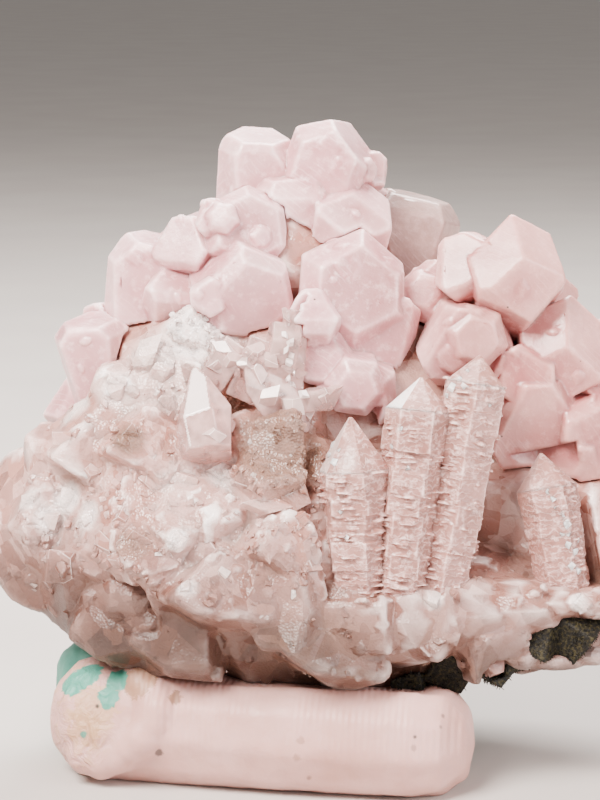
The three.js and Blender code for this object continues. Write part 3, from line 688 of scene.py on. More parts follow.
# a ledge or plate about 1 mm in radius: a cube stood on its corner and pressed down is a block bounded by
# cleavage faces, and one of these is turned up, pressed thin and broken at its corners
def cleavageSlab(thickness, cuts):
    slab = primitive(bpy.ops.mesh.primitive_cube_add, size=slabShape["cube"] * mm)
    editAll(slab)
    bpy.ops.transform.rotate(value=radians(45), orient_axis="X", center_override=(0, 0, 0))
    bpy.ops.transform.rotate(value=atan(1 / sqrt(2)), orient_axis="Y", center_override=(0, 0, 0))
    bpy.ops.transform.resize(value=(1, 1, slabShape["squash"]), center_override=(0, 0, 0))
    bpy.ops.object.mode_set(mode="OBJECT")
    top = max(slab.data.polygons, key=lambda p: p.normal.x + p.normal.z)
    slab.data.transform(top.normal.rotation_difference(Vector((0, 0, 1))).to_matrix().to_4x4())
    editAll(slab)
    bpy.ops.transform.resize(value=(1, 1, thickness), center_override=(0, 0, 0))
    for lean, turn, share in cuts:
        tilt, around = radians(lean), radians(turn)
        out = Vector((sin(tilt) * cos(around), sin(tilt) * sin(around), cos(tilt)))
        cutOff(out * share * mm, out)
    return setAside(slab)


# broken on its sides, and every third one across a corner of its top
def brokenSlab(index, chance):
    sides = [(62, 88, 0.3, 0.6)] * (index % 4 + 1) + [(12, 28, 0.18, 0.26)] * (index % 3 == 2)
    cuts = [
        (chance.uniform(low, high), chance.uniform(0, 360), chance.uniform(near, far))
        for low, high, near, far in sides
    ]
    return cleavageSlab(chance.uniform(*slabShape["thickness"]), cuts)


slabChance = random.Random(slabShape["seed"])
slabs = [brokenSlab(index, slabChance) for index in range(slabShape["count"])]


# a six-sided blocky crystal, 1 mm in radius, with its upper edges bevelled by mm
def sixSided(bevel):
    crystal = primitive(bpy.ops.mesh.primitive_cylinder_add, vertices=6, radius=1 * mm, depth=2 * mm)
    editAll(crystal)
    bpy.ops.mesh.select_all(action="DESELECT")
    bpy.ops.object.mode_set(mode="OBJECT")
    for edge in crystal.data.edges:
        edge.select = all(crystal.data.vertices[v].co.z > 0.9 * mm for v in edge.vertices)
    bpy.ops.object.mode_set(mode="EDIT")
    bpy.ops.mesh.select_mode(type="EDGE")
    bpy.ops.mesh.bevel(offset=bevel * mm, segments=1, offset_type="OFFSET")
    return setAside(crystal)


sixBlock = sixSided(0.3)
boss = setAside(primitive(bpy.ops.mesh.primitive_ico_sphere_add, subdivisions=2, radius=1 * mm))
# how white a bevel or plate flashes, and up to how many square millimetres a face is a bevel
whiteAndGlint = {"value": 0.7, "narrow": 0.05}


# a copy with thin bevels that the materials paint white: a painted highlight along its edges
def bevelled(template, width):
    piece = copyAt(template, Matrix.Identity(4))
    linkAll([piece])
    editAll(piece)
    bpy.ops.mesh.bevel(offset=width * mm, segments=1)
    setAside(piece)
    narrow = whiteAndGlint["narrow"] * mm ** 2
    note(piece, "bright", [whiteAndGlint["value"] if p.area < narrow else 0 for p in piece.data.polygons], "FACE")
    return piece


edgedSlabs = [bevelled(slab, 0.02) for slab in slabs]
# plates that flash white all over: a painted highlight
glintSlabs = [copyAt(slab, Matrix.Identity(4)) for slab in edgedSlabs]
for slab in glintSlabs:
    note(slab, "bright", [whiteAndGlint["value"]] * len(slab.data.polygons))

# The broken mass is made of grains: the blocks and plates of one grain share their directions
grains = {"count": 300, "lean": 22, "seed": 5, "wobble": 4}  # lean and wobble in degrees
plates = {
    "tries": 6, "smaller": 0.75,  # how often it is made smaller, and to what share
    "whiteAndGlint": 0.14,  # share of plates that flash white
    "edged": 0.9,  # mm from which a plate has bevels
    "hang": 0.35,  # mm that its corners may hang out
    "seed": 9,
}
glinting = random.Random(plates["seed"])


def leaned(direction, degrees, chance):
    around = Vector([chance.gauss(0, 1) for _ in range(3)]).cross(direction).normalized()
    return Quaternion(around, radians(degrees * chance.uniform(-1, 1))) @ direction


# faces of a piece picked at random, large ones more often
def anyFaces(piece, count, chance):
    polygons = piece.data.polygons
    return chance.choices(polygons, [p.area for p in polygons], k=count)


# small sizes are more common than large ones
def anySize(sizes, chance):
    return sizes[0] + (sizes[1] - sizes[0]) * chance.random() ** 2


def grainsOn(piece):
    chance = random.Random(grains["seed"])
    places = []
    for polygon in anyFaces(piece, grains["count"], chance):
        turn = standing(leaned(polygon.normal, grains["lean"], chance)) @ spun(chance.uniform(0, tau))
        places.append((polygon.center.copy(), turn))
    return places


# a plate or ledge on a surface, made smaller until no corner of it hangs out further than the limit
def plateAt(place, out, size, chance, places, proud, surface, limit=plates["hang"]):
    turn = min(places, key=lambda grain: (grain[0] - place).length_squared)[1]
    if (turn @ Vector((0, 0, 1))).dot(out) < 0.75:
        turn = standing(leaned(out, grains["lean"], chance))
    wobble = Quaternion(leaned(Vector((0, 0, 1)), 60, chance), radians(chance.gauss(0, grains["wobble"])))
    turn = turn @ wobble
    upwards = turn @ Vector((0, 0, 1))
    kind = chance.randrange(len(slabs))
    stretch = (chance.uniform(0.7, 1.5), chance.uniform(0.7, 1.3), chance.uniform(0.8, 1.2), 1)
    pose = turn.to_matrix().to_4x4() @ Matrix.Diagonal(stretch)
    for _ in range(plates["tries"]):
        centre = place + upwards * (proud - slabShape["top"] * size) * mm
        placed = Matrix.Translation(centre) @ pose @ Matrix.Scale(size, 4)
        heights = []
        for vertex in slabs[kind].data.vertices:
            corner = placed @ vertex.co
            near, normal = surface.find_nearest(corner)[:2]
            heights.append((corner - near).dot(normal))
        if max(heights) < (proud + limit) * mm:
            break
        size *= plates["smaller"]
    if glinting.random() < plates["whiteAndGlint"]:
        return copyAt(glintSlabs[kind], placed)
    return copyAt((edgedSlabs if size > plates["edged"] else slabs)[kind], placed)


# front regions: a box in pixels of the photograph, how many plates of each kind, their size and how proud
# they stand in mm
frontRegions = [
    ((60, 335, 240, 445), 50, (0.6, 2.2), (0.05, 0.3)),  # cream ledges
    ((170, 300, 236, 352), 60, (0.35, 0.8), (0.05, 0.3)),  # sugar-white patch
    ((236, 412, 322, 484), 85, (0.3, 0.7), (0.02, 0.2)),  # granular patch
    ((150, 440, 345, 600), 90, (0.5, 2.4), (0.05, 0.35)),  # broken blocks
    ((15, 470, 170, 595), 85, (0.5, 2.0), (0.05, 0.35)),  # bright shards
    ((335, 500, 480, 645), 25, (0.5, 2.0), (0.05, 0.3)),
    ((480, 560, 600, 640), 15, (0.5, 1.8), (0.05, 0.3)),
    ((480, 440, 560, 580), 35, (0.4, 1.3), (0.02, 0.2)),  # the cavity
    ((0, 585, 600, 680), 30, (1.2, 3.6), (0.02, 0.12)),  # smooth flank
]
allRound = {"count": 260, "size": (0.6, 2.6), "proud": (0.03, 0.3), "forward": -0.35, "seed": 8}


# whether a face is off the front, which has plates and chips of its own
def offFront(polygon, forward):
    return polygon.normal.y > forward or polygon.center.z < 12 * mm


# plates all over the mass: the front has its own, and the rest falls on the sides, back and underside
def massPlates(piece, chance, places, limit):
    surface = surfaces["matrix"]
    parts = []
    for _, place, normal, sizes, prouds in seenIn(frontRegions, "matrix", chance):
        size, proud = anySize(sizes, chance), chance.uniform(*prouds)
        parts.append(plateAt(place, normal, size, chance, places, proud, surface, limit))
    for polygon in anyFaces(piece, allRound["count"], chance):
        if offFront(polygon, allRound["forward"]):
            size, proud = anySize(allRound["size"], chance), chance.uniform(*allRound["proud"])
            parts.append(plateAt(polygon.center, polygon.normal, size, chance, places, proud, surface, limit))
    return parts


# plates and blocks that can be told apart in the photograph: pixel, half width and half height in mm, how
# far it stands out, its lean to the right and up in degrees, its turn, and how white (1) or amber (-1) it is;
# the whitest are partly a painted highlight on facets that catch the light
ledges = [
    ((146, 352), (2.0, 1.0), 0.5, (-18, 38), 38, 0.6),
    ((166, 364), (1.9, 1.3), 0.3, (-8, 30), 20, 0.45),
    ((117, 387), (2.2, 0.9), 0.45, (-20, 36), 32, 0.5),
    ((81, 411), (2.0, 0.9), 0.5, (-26, 34), 45, 0.75),
    ((94, 432), (1.8, 1.8), 0.35, (-12, -4), 8, 0.1),
    ((60, 446), (1.5, 1.3), 0.3, (-20, 0), 30, 0.2),
    ((129, 440), (1.5, 1.4), 0.1, (10, -14), 12, -0.9),
    ((168, 406), (1.9, 2.1), 0.2, (4, 4), 0, 0.1),
    ((180, 481), (1.8, 2.0), 0.5, (-6, 6), 20, 0.3),
    ((225, 473), (1.9, 1.3), 0.6, (4, 26), -6, 0.75),
    ((289, 494), (1.8, 1.7), 0.5, (14, 8), -12, 0.15),
    ((198, 561), (3.0, 1.9), 0.5, (-4, 8), 14, 0.15),
    ((186, 588), (0.8, 0.5), 0.6, (-10, 20), 40, 0.9),
    ((177, 540), (1.1, 0.8), 0.7, (-8, 24), 6, 0.95),
    ((241, 537), (2.6, 2.2), 0.35, (6, 2), -10, 0.0),
    ((262, 505), (2.4, 0.9), 0.45, (4, 30), -4, 0.2),
    ((70, 500), (1.5, 1.1), 0.6, (-24, 20), 30, 0.9),
    ((90, 516), (1.4, 1.2), 0.6, (-14, 14), 60, 0.7),
    ((48, 520), (1.5, 1.2), 0.5, (-26, 8), 10, 0.7),
    ((30, 500), (1.3, 1.3), 0.4, (-34, 10), 20, 0.6),
    # a pit, darkened: painted shade
    ((132, 545), (1.6, 1.2), 0.0, (0, -20), 10, -0.6),
    ((60, 570), (2.6, 1.8), 0.15, (-16, -18), 24, 0.0),
    ((368, 545), (1.5, 1.7), 0.6, (0, 10), 50, 0.5),
    ((424, 566), (0.6, 0.8), 0.6, (6, 10), 10, 0.6),
    ((433, 598), (0.9, 1.0), 0.5, (4, 16), 36, 0.6),
    ((580, 603), (0.9, 0.8), 0.6, (10, 16), 10, 0.95),
]
# softer patches of tone, some of them painted shade in a hole, a cavity and a gap: pixel, radius in mm, how
# white or amber
patches = [
    ((200, 330), 3.2, 1.0),  # sugar-white patch
    ((150, 372), 4.0, 0.35),
    ((60, 505), 4.5, 0.1),
    ((282, 448), 3.9, -0.8),  # granular patch
    ((318, 470), 2.4, -0.5),
    ((240, 402), 1.3, -1.0),  # hole: painted shade, brown
    ((510, 500), 3.6, -0.05),  # cavity: painted shade, tan
    ((400, 355), 2.6, -0.3),  # gap beside the middle crystals: painted shade, warm
    ((215, 490), 4.5, 0.15),
]
# rounded bosses that are welded into the skin, where its solid leaves a void that the photograph doesn't
# show: pixel, depth of the front, then half width, half height and half depth, all in mm
bosses = [
    ((244, 438), -10.5, (1.7, 2.3, 2.6)),  # beside the clear crystal
    ((318, 470), -11.0, (2.0, 2.8, 2.6)),  # beside the left column
    ((316, 518), -12.2, (2.2, 2.8, 2.8)),
    ((320, 562), -13.4, (2.6, 2.6, 3.0)),
    ((130, 596), -12.8, (3.6, 3.0, 3.2)),  # in the low hollow on the left
    ((150, 626), -13.0, (3.4, 2.2, 3.2)),
    ((345, 622), -15.3, (5.2, 4.0, 4.8)),  # at the foot of the columns
    ((402, 622), -15.2, (6.4, 4.0, 4.8)),
    ((454, 617), -14.7, (6.4, 3.3, 4.6)),
    ((504, 612), -13.7, (6.0, 2.6, 4.4)),
    ((550, 604), -12.8, (5.6, 1.8, 4.2)),
    ((594, 606), -12.4, (4.4, 1.6, 4.0)),
    ((524, 658), -12.6, (2.0, 1.2, 2.2)),  # below the dark mineral
    ((556, 663), -12.2, (3.0, 0.8, 2.0)),
    ((592, 658), -11.9, (2.8, 0.8, 2.0)),
]


def placedBosses():
    parts = []
    for pixel, front, sizes in bosses:
        ray = rayThrough(*pixel)
        place = eye + ray * (front * mm - eye.y) / ray.y
        parts.append(facingCopy(boss, place + towards * sizes[2] * mm, 0, (0, 0), 0, sizes))
    return parts


# a plate that faces the camera, with its top as proud as asked and its thickness from its shorter side
def placedPlate(kind, place, half, proud, lean, turn, wider=1):
    wide, high = (side * wider for side in half)
    thick = min(half) + 0.4
    middle = proud - slabShape["top"] * thick
    return facingCopy(edgedSlabs[kind % len(slabs)], place, middle, lean, turn, (wide, high, thick))


def placedLedges():
    parts, spots = [], []
    for pixel, half, proud, lean, turn, tone in ledges:
        place = fromPhoto(*pixel, "matrix", hidden=True)[0]
        parts.append(placedPlate(len(parts) * 3, place, half, proud * 0.7, lean, turn, wider=1.15))
        spots.append((place, max(half) * 0.85, tone))
    return parts, spots


def noteSpots(piece, spots):
    for pixel, radius, tone in patches:
        found = fromPhoto(*pixel, "matrix", hidden=True)
        if found:
            spots.append((found[0], radius, tone))
    points = positions(piece)
    value = np.zeros(len(points), np.float32)
    for place, radius, tone in spots:
        away = np.linalg.norm(points - np.array(place, np.float32), axis=1) / mm
        strong = tone * np.clip((radius * 1.25 - away) / (radius * 0.5), 0, 1)
        value = np.where(np.abs(strong) > np.abs(value), strong, value)
    note(piece, "spots", value * 0.5 + 0.5)


# sharp chips that stand on the finished skin, in clusters: where, how many clusters, and how large
chipRegions = [
    ((172, 306, 234, 352), 45, (0.6, 1.2)),  # sugar-white patch
    ((60, 345, 200, 445), 22, (0.6, 1.3)),  # cream ledges
    ((238, 412, 320, 484), 80, (0.4, 0.8)),  # granular patch
    ((160, 450, 335, 600), 55, (0.6, 1.5)),  # broken blocks
    ((15, 470, 165, 590), 50, (0.6, 1.5)),  # bright shards
    ((300, 480, 345, 590), 16, (0.6, 1.3)),
    ((335, 575, 600, 640), 14, (0.6, 1.2)),
    ((0, 590, 380, 680), 16, (0.5, 0.9)),
]
chips = {
    "round": 130,  # clusters on the sides, back and underside
    "size": (0.6, 1.4), "lean": 26, "spread": 0.33, "each": 6, "blocks": (0.14, 0.5), "sunk": 0.1,
    "kinds": 6, "forward": -0.3, "seed": 61, "placing": 67,
}


# a handful of small cleavage blocks, about 1 mm across
def chipCluster(seed):
    chance = random.Random(seed)
    parts = []
    for _ in range(chips["each"]):
        away = Vector((chance.gauss(0, 1), chance.gauss(0, 1), 0)) * chips["spread"] * mm
        turn = standing(leaned(Vector((0, 0, 1)), chips["lean"] * 2, chance)) @ spun(chance.uniform(0, tau))
        size = anySize(chips["blocks"], chance)
        sizes = (size * chance.uniform(0.7, 1.4), size, size * chance.uniform(0.6, 1.2))
        parts.append(posedCopy(chance.choice(slabs), away, turn, sizes))
    linkAll(parts)
    joinTo(parts[0], parts[1:])
    return setAside(parts[0])


chipClusters = [chipCluster(chips["seed"] + index) for index in range(chips["kinds"])]


def clustersOn(piece):
    chance = random.Random(chips["placing"])
    skin = skinOf(piece)
    spots = []
    for pixel, _, _, sizes in seenIn(chipRegions, "matrix", chance):
        place, normal = skin.ray_cast(eye, rayThrough(*pixel))[:2]
        if place:
            spots.append((place, normal, chance.uniform(*sizes)))
    for polygon in anyFaces(piece, chips["round"], chance):
        if offFront(polygon, chips["forward"]):
            spots.append((polygon.center, polygon.normal, chance.uniform(*chips["size"])))
    parts = []
    for place, normal, size in spots:
        turn = standing(leaned(normal, chips["lean"], chance)) @ spun(chance.uniform(0, tau))
        sunk = place - normal * chips["sunk"] * mm
        parts.append(posedCopy(chance.choice(chipClusters), sunk, turn, (size,) * 3))
    return parts


# slow swells and shallow steps of the broken mass, in mm
massShape = {
    "voxel": 0.4, "push": 0.12, "swell": 0.35, "swellSize": 5, "step": 0.2, "stepSize": 2.2, "finest": 0.17,
    "triangles": 95000,
}


def makeMass():
    mass = copyOfNode("matrix", "broken_mass")
    weld(mass, massShape["voxel"], 2)
    push(mass, massShape["push"])
    displace(mass, "CLOUDS", massShape["swellSize"], massShape["swell"], 0.4, noise_depth=2)
    displace(mass, "VORONOI", massShape["stepSize"], massShape["step"], 0.4, distance_metric="CHEBYCHEV")
    chance = random.Random(allRound["seed"])
    places = grainsOn(mass)
    # half of the plates are welded into the skin, the rest and the placed ones keep their edges
    welded = massPlates(mass, chance, places, plates["hang"])
    sharp = massPlates(mass, chance, places, 0.1)
    placed, spots = placedLedges()
    print("mass blocks:", len(welded), len(sharp), len(placed))
    joinTo(mass, linkAll(welded + placedBosses()))
    weld(mass, massShape["finest"], 1, massShape["triangles"])
    noteRelief(mass, broad=(40, 0.8), fine=(6, 0.16))
    first = len(mass.data.vertices)
    joinTo(mass, linkAll(sharp + placed + clustersOn(mass)))
    giveRelief(mass, first, broad=0.5, fine=0.6)
    noteSpots(mass, spots)
    finishPiece(mass, brokenMass, "massive_calcite", "matrix", shading=32)


makeMass()

# Blocky crystals: node, name, voxel in mm, material and slot
groups = [
    ("peak_crystals", "peak_blocks", 0.13, frostedPink, "blocky_calcite"),
    ("middle_crystals", "middle_blocks", 0.12, frostedPink, "blocky_calcite"),
    ("left_crystals", "left_blocks", 0.13, frostedPink, "blocky_calcite"),
    ("far_left_crystals", "far_left_blocks", 0.13, frostedPink, "blocky_calcite"),
    ("right_crystals", "right_blocks", 0.14, frostedPink, "blocky_calcite"),
    ("back_crystals", "back_crust", 0.16, greyCalcite, "grey_calcite"),
]
blockShape = {
    "push": 0.13, "smoothing": 2, "ripple": 0.05, "rippleSize": 1.6, "triangles": 60000,
    # raised growth plates: how many for each square millimetre, their size and how proud they stand
    "terraces": 0.04, "size": (1.1, 2.8), "proud": (0.09, 0.15),
}
# small crystals that stand on the blocky groups: node, pixel, radius in mm, how far in front of the surface
# their lid is, lean and turn
smallCrystals = [
    ("left_crystals", (222, 218), 1.25, 0.55, (-10, 12), 12),
    ("left_crystals", (262, 238), 1.0, 0.3, (24, 0), 40),
    ("right_crystals", (476, 338), 2.6, 0.6, (6, -8), 20),
    ("right_crystals", (452, 356), 1.5, 0.9, (-10, -20), 0),
    ("right_crystals", (424, 292), 1.9, 0.3, (-8, 8), 10),
    ("middle_crystals", (356, 388), 2.4, 0.5, (4, -16), 24),
    ("peak_crystals", (366, 170), 1.0, 0.4, (40, 0), 15),
]


def smallOn(node):
    parts = []
    for on, pixel, radius, lid, lean, turn in smallCrystals:
        found = on == node and fromPhoto(*pixel, node, hidden=True)
        if found:
            parts.append(facingCopy(sixBlock, found[0], lid - radius, lean, turn, (radius,) * 3))
    return parts


def growthPlates(piece, node, chance):
    area = sum(p.area for p in piece.data.polygons) / mm ** 2
    parts = []
    for polygon in anyFaces(piece, int(area * blockShape["terraces"]), chance):
        corners = [piece.data.vertices[v].co for v in polygon.vertices]
        shares = [chance.random() for _ in corners]
        place = sum((c * w for c, w in zip(corners, shares)), Vector()) / sum(shares)
        flat = [(place, standing(polygon.normal))]
        size, proud = anySize(blockShape["size"], chance), chance.uniform(*blockShape["proud"])
        parts.append(plateAt(place, polygon.normal, size, chance, flat, proud, surfaces[node], 0.03))
    return parts


for node, name, voxel, material, slot in groups:
    piece = copyOfNode(node, name)
    joinTo(piece, linkAll(growthPlates(piece, node, random.Random(name)) + smallOn(node)))
    weld(piece, voxel, blockShape["smoothing"], blockShape["triangles"])
    displace(piece, "CLOUDS", blockShape["rippleSize"], blockShape["ripple"], noise_depth=1)
    push(piece, blockShape["push"])
    noteRelief(piece, broad=(60, 0.7), fine=(8, 0.12))
    finishPiece(piece, material, slot, node)

# Stepped columns: tip and foot, radius and height of the point in mm, degrees that they are turned, the
# part of a turn that is ridged, how bright the painted highlight on the left face of the point is, and pixels
# where small plates glint
columns = [
    {"node": "left_column", "tip": (2.3, -10.56, 29.4), "foot": (3, -11.76, 15.6), "radius": 3.05,
     "point": 4.1, "turn": 44, "ridges": 230, "sector": (0, 1), "flash": 0.25, "glints": [
         (340, 431), (336, 438), (332, 446), (338, 449), (329, 456), (334, 462), (330, 505), (341, 512),
         (347, 536)]},
    {"node": "middle_column", "tip": (7.8, -9.36, 32.3), "foot": (6, -12.26, 15.4), "radius": 2.65,
     "point": 2.6, "turn": 56, "ridges": 320, "sector": (0, 1), "flash": 1, "glints": [
         (401, 428), (392, 446), (408, 470)]},
    {"node": "right_column", "tip": (12.4, -7.96, 33.8), "foot": (9.3, -11.16, 15.4), "radius": 2.7,
     "point": 2.3, "turn": 30, "ridges": 340, "sector": (0, 1), "flash": 0.1, "glints": [
         (468, 370), (460, 378), (452, 386), (446, 396), (464, 388), (490, 404)]},
    {"node": "side_column", "tip": (17.3, -7.16, 25.9), "foot": (19.1, -9.56, 15.0), "radius": 2.5,
     "point": 2.8, "turn": 56, "ridges": 150, "sector": (0.7, 1.1), "flash": 0.1, "glints": [
         (548, 492), (553, 498), (556, 508), (562, 516), (566, 524), (570, 534), (568, 545), (575, 552),
         (572, 566), (579, 572), (562, 535), (578, 542)]},
]
columnShape = {
    "thinning": 0.16, "body": 0.97, "crown": 0.97,  # shares of the radius
    "lengths": 9, "waver": 0.025, "shift": 0.07,  # of the body, the share they vary by and mm they shift by
    "ring": 0.8,  # mm between the wider steps that make the teeth of its outline
    "ridgeSize": (0.4, 1.1), "ridgeHeight": (0.1, 0.24), "proud": (0.03, 0.14),
    "glint": (0.3, 0.55), "glintWhite": 0.75, "voxel": 0.085, "triangles": 60000, "seed": 21,
}


# a flat six-sided step, wider below, 1 mm in radius and 1 mm high
def stepTemplate(neck):
    cone = {"vertices": 6, "radius1": 1 * mm, "radius2": neck * mm, "depth": 1 * mm}
    step = primitive(bpy.ops.mesh.primitive_cone_add, **cone)
    editAll(step)
    bpy.ops.transform.rotate(value=radians(30), orient_axis="Z", center_override=(0, 0, 0))
    return setAside(step)


columnStep, columnBody = stepTemplate(0.8), stepTemplate(1)
columnPoint = bevelled(stepTemplate(0.05), 0.01)


# small plates with a painted white highlight that lie on a column or its point
def glintsOn(piece, crown, pixels, chance):
    corners = [v.co for v in crown.data.vertices]
    skins = skinOf(piece), BVHTree.FromPolygons(corners, [p.vertices for p in crown.data.polygons])
    parts = []
    for pixel in pixels:
        hits = [hit for hit in (skin.ray_cast(eye, rayThrough(*pixel)) for skin in skins) if hit[0]]
        if hits:
            place, normal = min(hits, key=lambda hit: hit[3])[:2]
            size = chance.uniform(*columnShape["glint"])
            turn = standing(leaned(normal, 25, chance))
            plate = posedCopy(chance.choice(edgedSlabs), place - normal * 0.1 * mm, turn, (size,) * 3)
            note(plate, "bright", [columnShape["glintWhite"]] * len(plate.data.polygons))
            parts.append(plate)
    return parts


def makeColumn(column, seed):
    shape = columnShape
    chance = random.Random(seed)
    tip, foot = Vector(column["tip"]) * mm, Vector(column["foot"]) * mm
    axis = (tip - foot).normalized()
    length = (tip - foot).length / mm
    pose = standing(axis) @ spun(radians(column["turn"]))
    radius, high = column["radius"], column["point"]
    # the point keeps its edges
    wide = radius * shape["crown"]
    crown = posedCopy(columnPoint, tip - axis * high / 2 * mm, pose, (wide, wide, high))
    # a painted highlight on the faces of the point that turn left, towards the light
    toLeft = [p.normal.x < -0.35 and p.normal.z > 0.1 and p.normal.y < 0 for p in crown.data.polygons]
    note(crown, "bright", [column["flash"] if left else 0 for left in toLeft])
    # the body, in lengths that grow thinner, shift and turn a little
    parts = []
    long = (length - high) / shape["lengths"]
    for index in range(shape["lengths"]):
        share = (index + 0.5) / shape["lengths"]
        middle = tip - axis * (high - 0.05 + long * (index + 0.5)) * mm
        thick = radius * shape["body"] * (1 - shape["thinning"] * share)
        if index:
            thick *= 1 + chance.uniform(-1, 1) * shape["waver"]
            middle += Vector([chance.uniform(-1, 1) * shape["shift"] * mm for _ in range(3)])
        turn = pose @ spun(chance.gauss(0, 0.06) if index else 0)
        parts.append(posedCopy(columnBody, middle, turn, (thick, thick, long * 1.05)))
    # wider steps that show as teeth on its outline
    down = high + 0.2
    while down < length:
        size = radius * (1 - shape["thinning"] * down / length) * chance.uniform(0.97, 1.04)
        lean = Quaternion((chance.uniform(-1, 1), chance.uniform(-1, 1), 0), radians(3))
        lean = lean @ spun(chance.gauss(0, 0.05))
        height = shape["ring"] * chance.uniform(0.35, 0.6)
        parts.append(posedCopy(columnStep, tip - axis * down * mm, pose @ lean, (size, size, height)))
        down += shape["ring"] * chance.uniform(0.7, 1.3)
    # short ridges on the faces
    first, last = column["sector"]
    for _ in range(column["ridges"]):
        share = chance.uniform(high / length - 0.01, 1)
        around = chance.uniform(first, last) * tau
        # the body is six-sided: nearer to its axis in the middle of a face
        toFace = cos(pi / 6) / cos((around + pi / 6) % (pi / 3) - pi / 6)
        size = chance.uniform(*shape["ridgeSize"])
        down = max(share * length - high, 0) / (length - high)
        edge = radius * shape["body"] * (1 - shape["thinning"] * down) * toFace
        edge += chance.uniform(*shape["proud"]) - size * 0.85
        out = pose @ Vector((cos(around), sin(around), 0))
        place = tip - axis * length * share * mm + out * edge * mm
        turn = pose @ (spun(chance.uniform(0, tau)) @ Quaternion((1, 0, 0), chance.gauss(0, 0.1)))
        sizes = (size, size * chance.uniform(0.8, 1.3), chance.uniform(*shape["ridgeHeight"]))
        parts.append(posedCopy(columnStep, place, turn, sizes))
    linkAll(parts)
    piece = parts[0]
    piece.name = column["node"] + "_steps"
    joinTo(piece, parts[1:])
    weld(piece, shape["voxel"], 1, shape["triangles"])
    noteRelief(piece, broad=(40, 0.7), fine=(6, 0.1))
    first = len(piece.data.vertices)
    joinTo(piece, linkAll([crown] + glintsOn(piece, crown, column["glints"], chance)))
    giveRelief(piece, first, broad=0.5, fine=0.6)
    finishPiece(piece, steppedCalcite, "column_calcite", column["node"], shading=35)


for index, column in enumerate(columns):
    makeColumn(column, columnShape["seed"] + index)

# Clear crystals: where they are cut, as a point in mm and the way the cut faces, which way a face flashes
# white, how many plates fall on them, and the shards, given as the ledges are
clearPieces = [
    {"node": "clear_point", "name": "clear_crystal", "voxel": 0.07, "cuts": [
        ((-9.9, -12.2, 30), (-0.5, -0.75, 0.42)), ((-7.6, -12, 29.6), (0.62, -0.66, 0.3)),
        ((-8.5, -12.6, 27.5), (0.1, -0.5, -0.86)), ((-7.0, -11, 27), (1, 0, 0)),
    ], "flash": (-0.5, -0.75, 0.42), "plates": 4, "shards": [
        ((216, 434), (1.2, 0.8), 0.2, (20, -6), 20, 0.2),
    ]},
    {"node": "broken_crystals", "name": "broken_clear_crystals", "voxel": 0.09, "cuts": [
        ((-1.6, -7, 37.2), (0, 0, 1)),
    ], "flash": None, "plates": 40, "shards": [
        ((222, 350), (0.8, 1.1), 0.4, (-16, 20), 50, 0.15),
        ((232, 358), (0.9, 1.3), 0.4, (14, 22), 66, 0.0),
        ((243, 362), (0.9, 1.3), 0.5, (-20, 14), 48, 0.3),
        ((256, 352), (1.4, 0.8), 0.5, (4, 34), -8, 0.1),
        ((258, 370), (1.0, 1.4), 0.4, (22, 10), 12, 0.0),
        ((270, 362), (0.9, 1.2), 0.4, (-14, 6), 30, 0.1),
        ((286, 336), (0.4, 0.5), 0.5, (-20, 14), 24, 0.8),
        ((290, 343), (0.5, 0.4), 0.5, (18, 24), 70, 0.7),
        ((287, 350), (0.3, 0.5), 0.6, (-8, 4), -34, 0.9),
        ((293, 356), (0.5, 0.4), 0.5, (-26, 10), 10, 0.6),
        ((288, 364), (0.4, 0.4), 0.6, (10, 18), 50, 0.9),
        ((293, 371), (0.4, 0.6), 0.5, (-14, 20), 14, 0.7),
        ((288, 379), (0.5, 0.3), 0.6, (6, 8), 80, 0.8),
        ((294, 386), (0.4, 0.4), 0.5, (-20, 18), 40, 0.9),
        ((270, 394), (1.6, 1.0), 0.5, (-16, 22), 30, 0.2),
        ((290, 404), (1.5, 1.2), 0.6, (12, -10), -24, 0.3),
        ((308, 412), (1.0, 1.0), 0.6, (6, 10), 10, 0.2),
        ((304, 397), (0.7, 0.5), 0.9, (6, 20), -30, 1.0),
    ]},
]
clearShape = {"plate": (0.35, 1.1), "proud": 0.25, "push": 0.12, "triangles": 40000, "flash": 0.8, "seed": 31}


def makeClear(entry):
    node = entry["node"]
    piece = copyOfNode(node, entry["name"])
    editAll(piece)
    for point, out in entry["cuts"]:
        cutOff(Vector(point) * mm, Vector(out).normalized())
    bpy.ops.object.mode_set(mode="OBJECT")
    chance = random.Random(clearShape["seed"])
    parts = []
    for polygon in anyFaces(piece, entry["plates"], chance):
        size = chance.uniform(*clearShape["plate"])
        place, normal = polygon.center, polygon.normal
        own = [(place.copy(), standing(leaned(normal, 30, chance)))]
        parts.append(plateAt(place, normal, size, chance, own, clearShape["proud"], surfaces[node]))
    for pixel, half, proud, lean, turn, flash in entry["shards"]:
        found = fromPhoto(*pixel, node, hidden=True)
        if found:
            part = placedPlate(len(parts), found[0], half, proud, lean, turn)
            noted = numbersOf(part.data.attributes["bright"].data, "value").ravel()
            note(part, "bright", np.maximum(noted, flash))
            parts.append(part)
    weld(piece, entry["voxel"], 1, clearShape["triangles"])
    push(piece, clearShape["push"])
    # a painted highlight on the faces that turn towards the light
    if entry["flash"]:
        toLight = Vector(entry["flash"]).normalized()
        facetLight = [p.normal.dot(toLight) > 0.93 for p in piece.data.polygons]
        note(piece, "bright", [clearShape["flash"] if lit else 0 for lit in facetLight], "FACE")
    joinTo(piece, linkAll(parts))
    finishPiece(piece, glassCalcite, "clear_calcite", node, shading=25)


for entry in clearPieces:
    makeClear(entry)

# Dark fibrous mineral with needles, and the crystal in its pocket; the dark band under the stone is partly a
# painted shadow
needles = {"count": 1400, "length": (0.2, 0.6), "width": 0.07, "seed": 41}


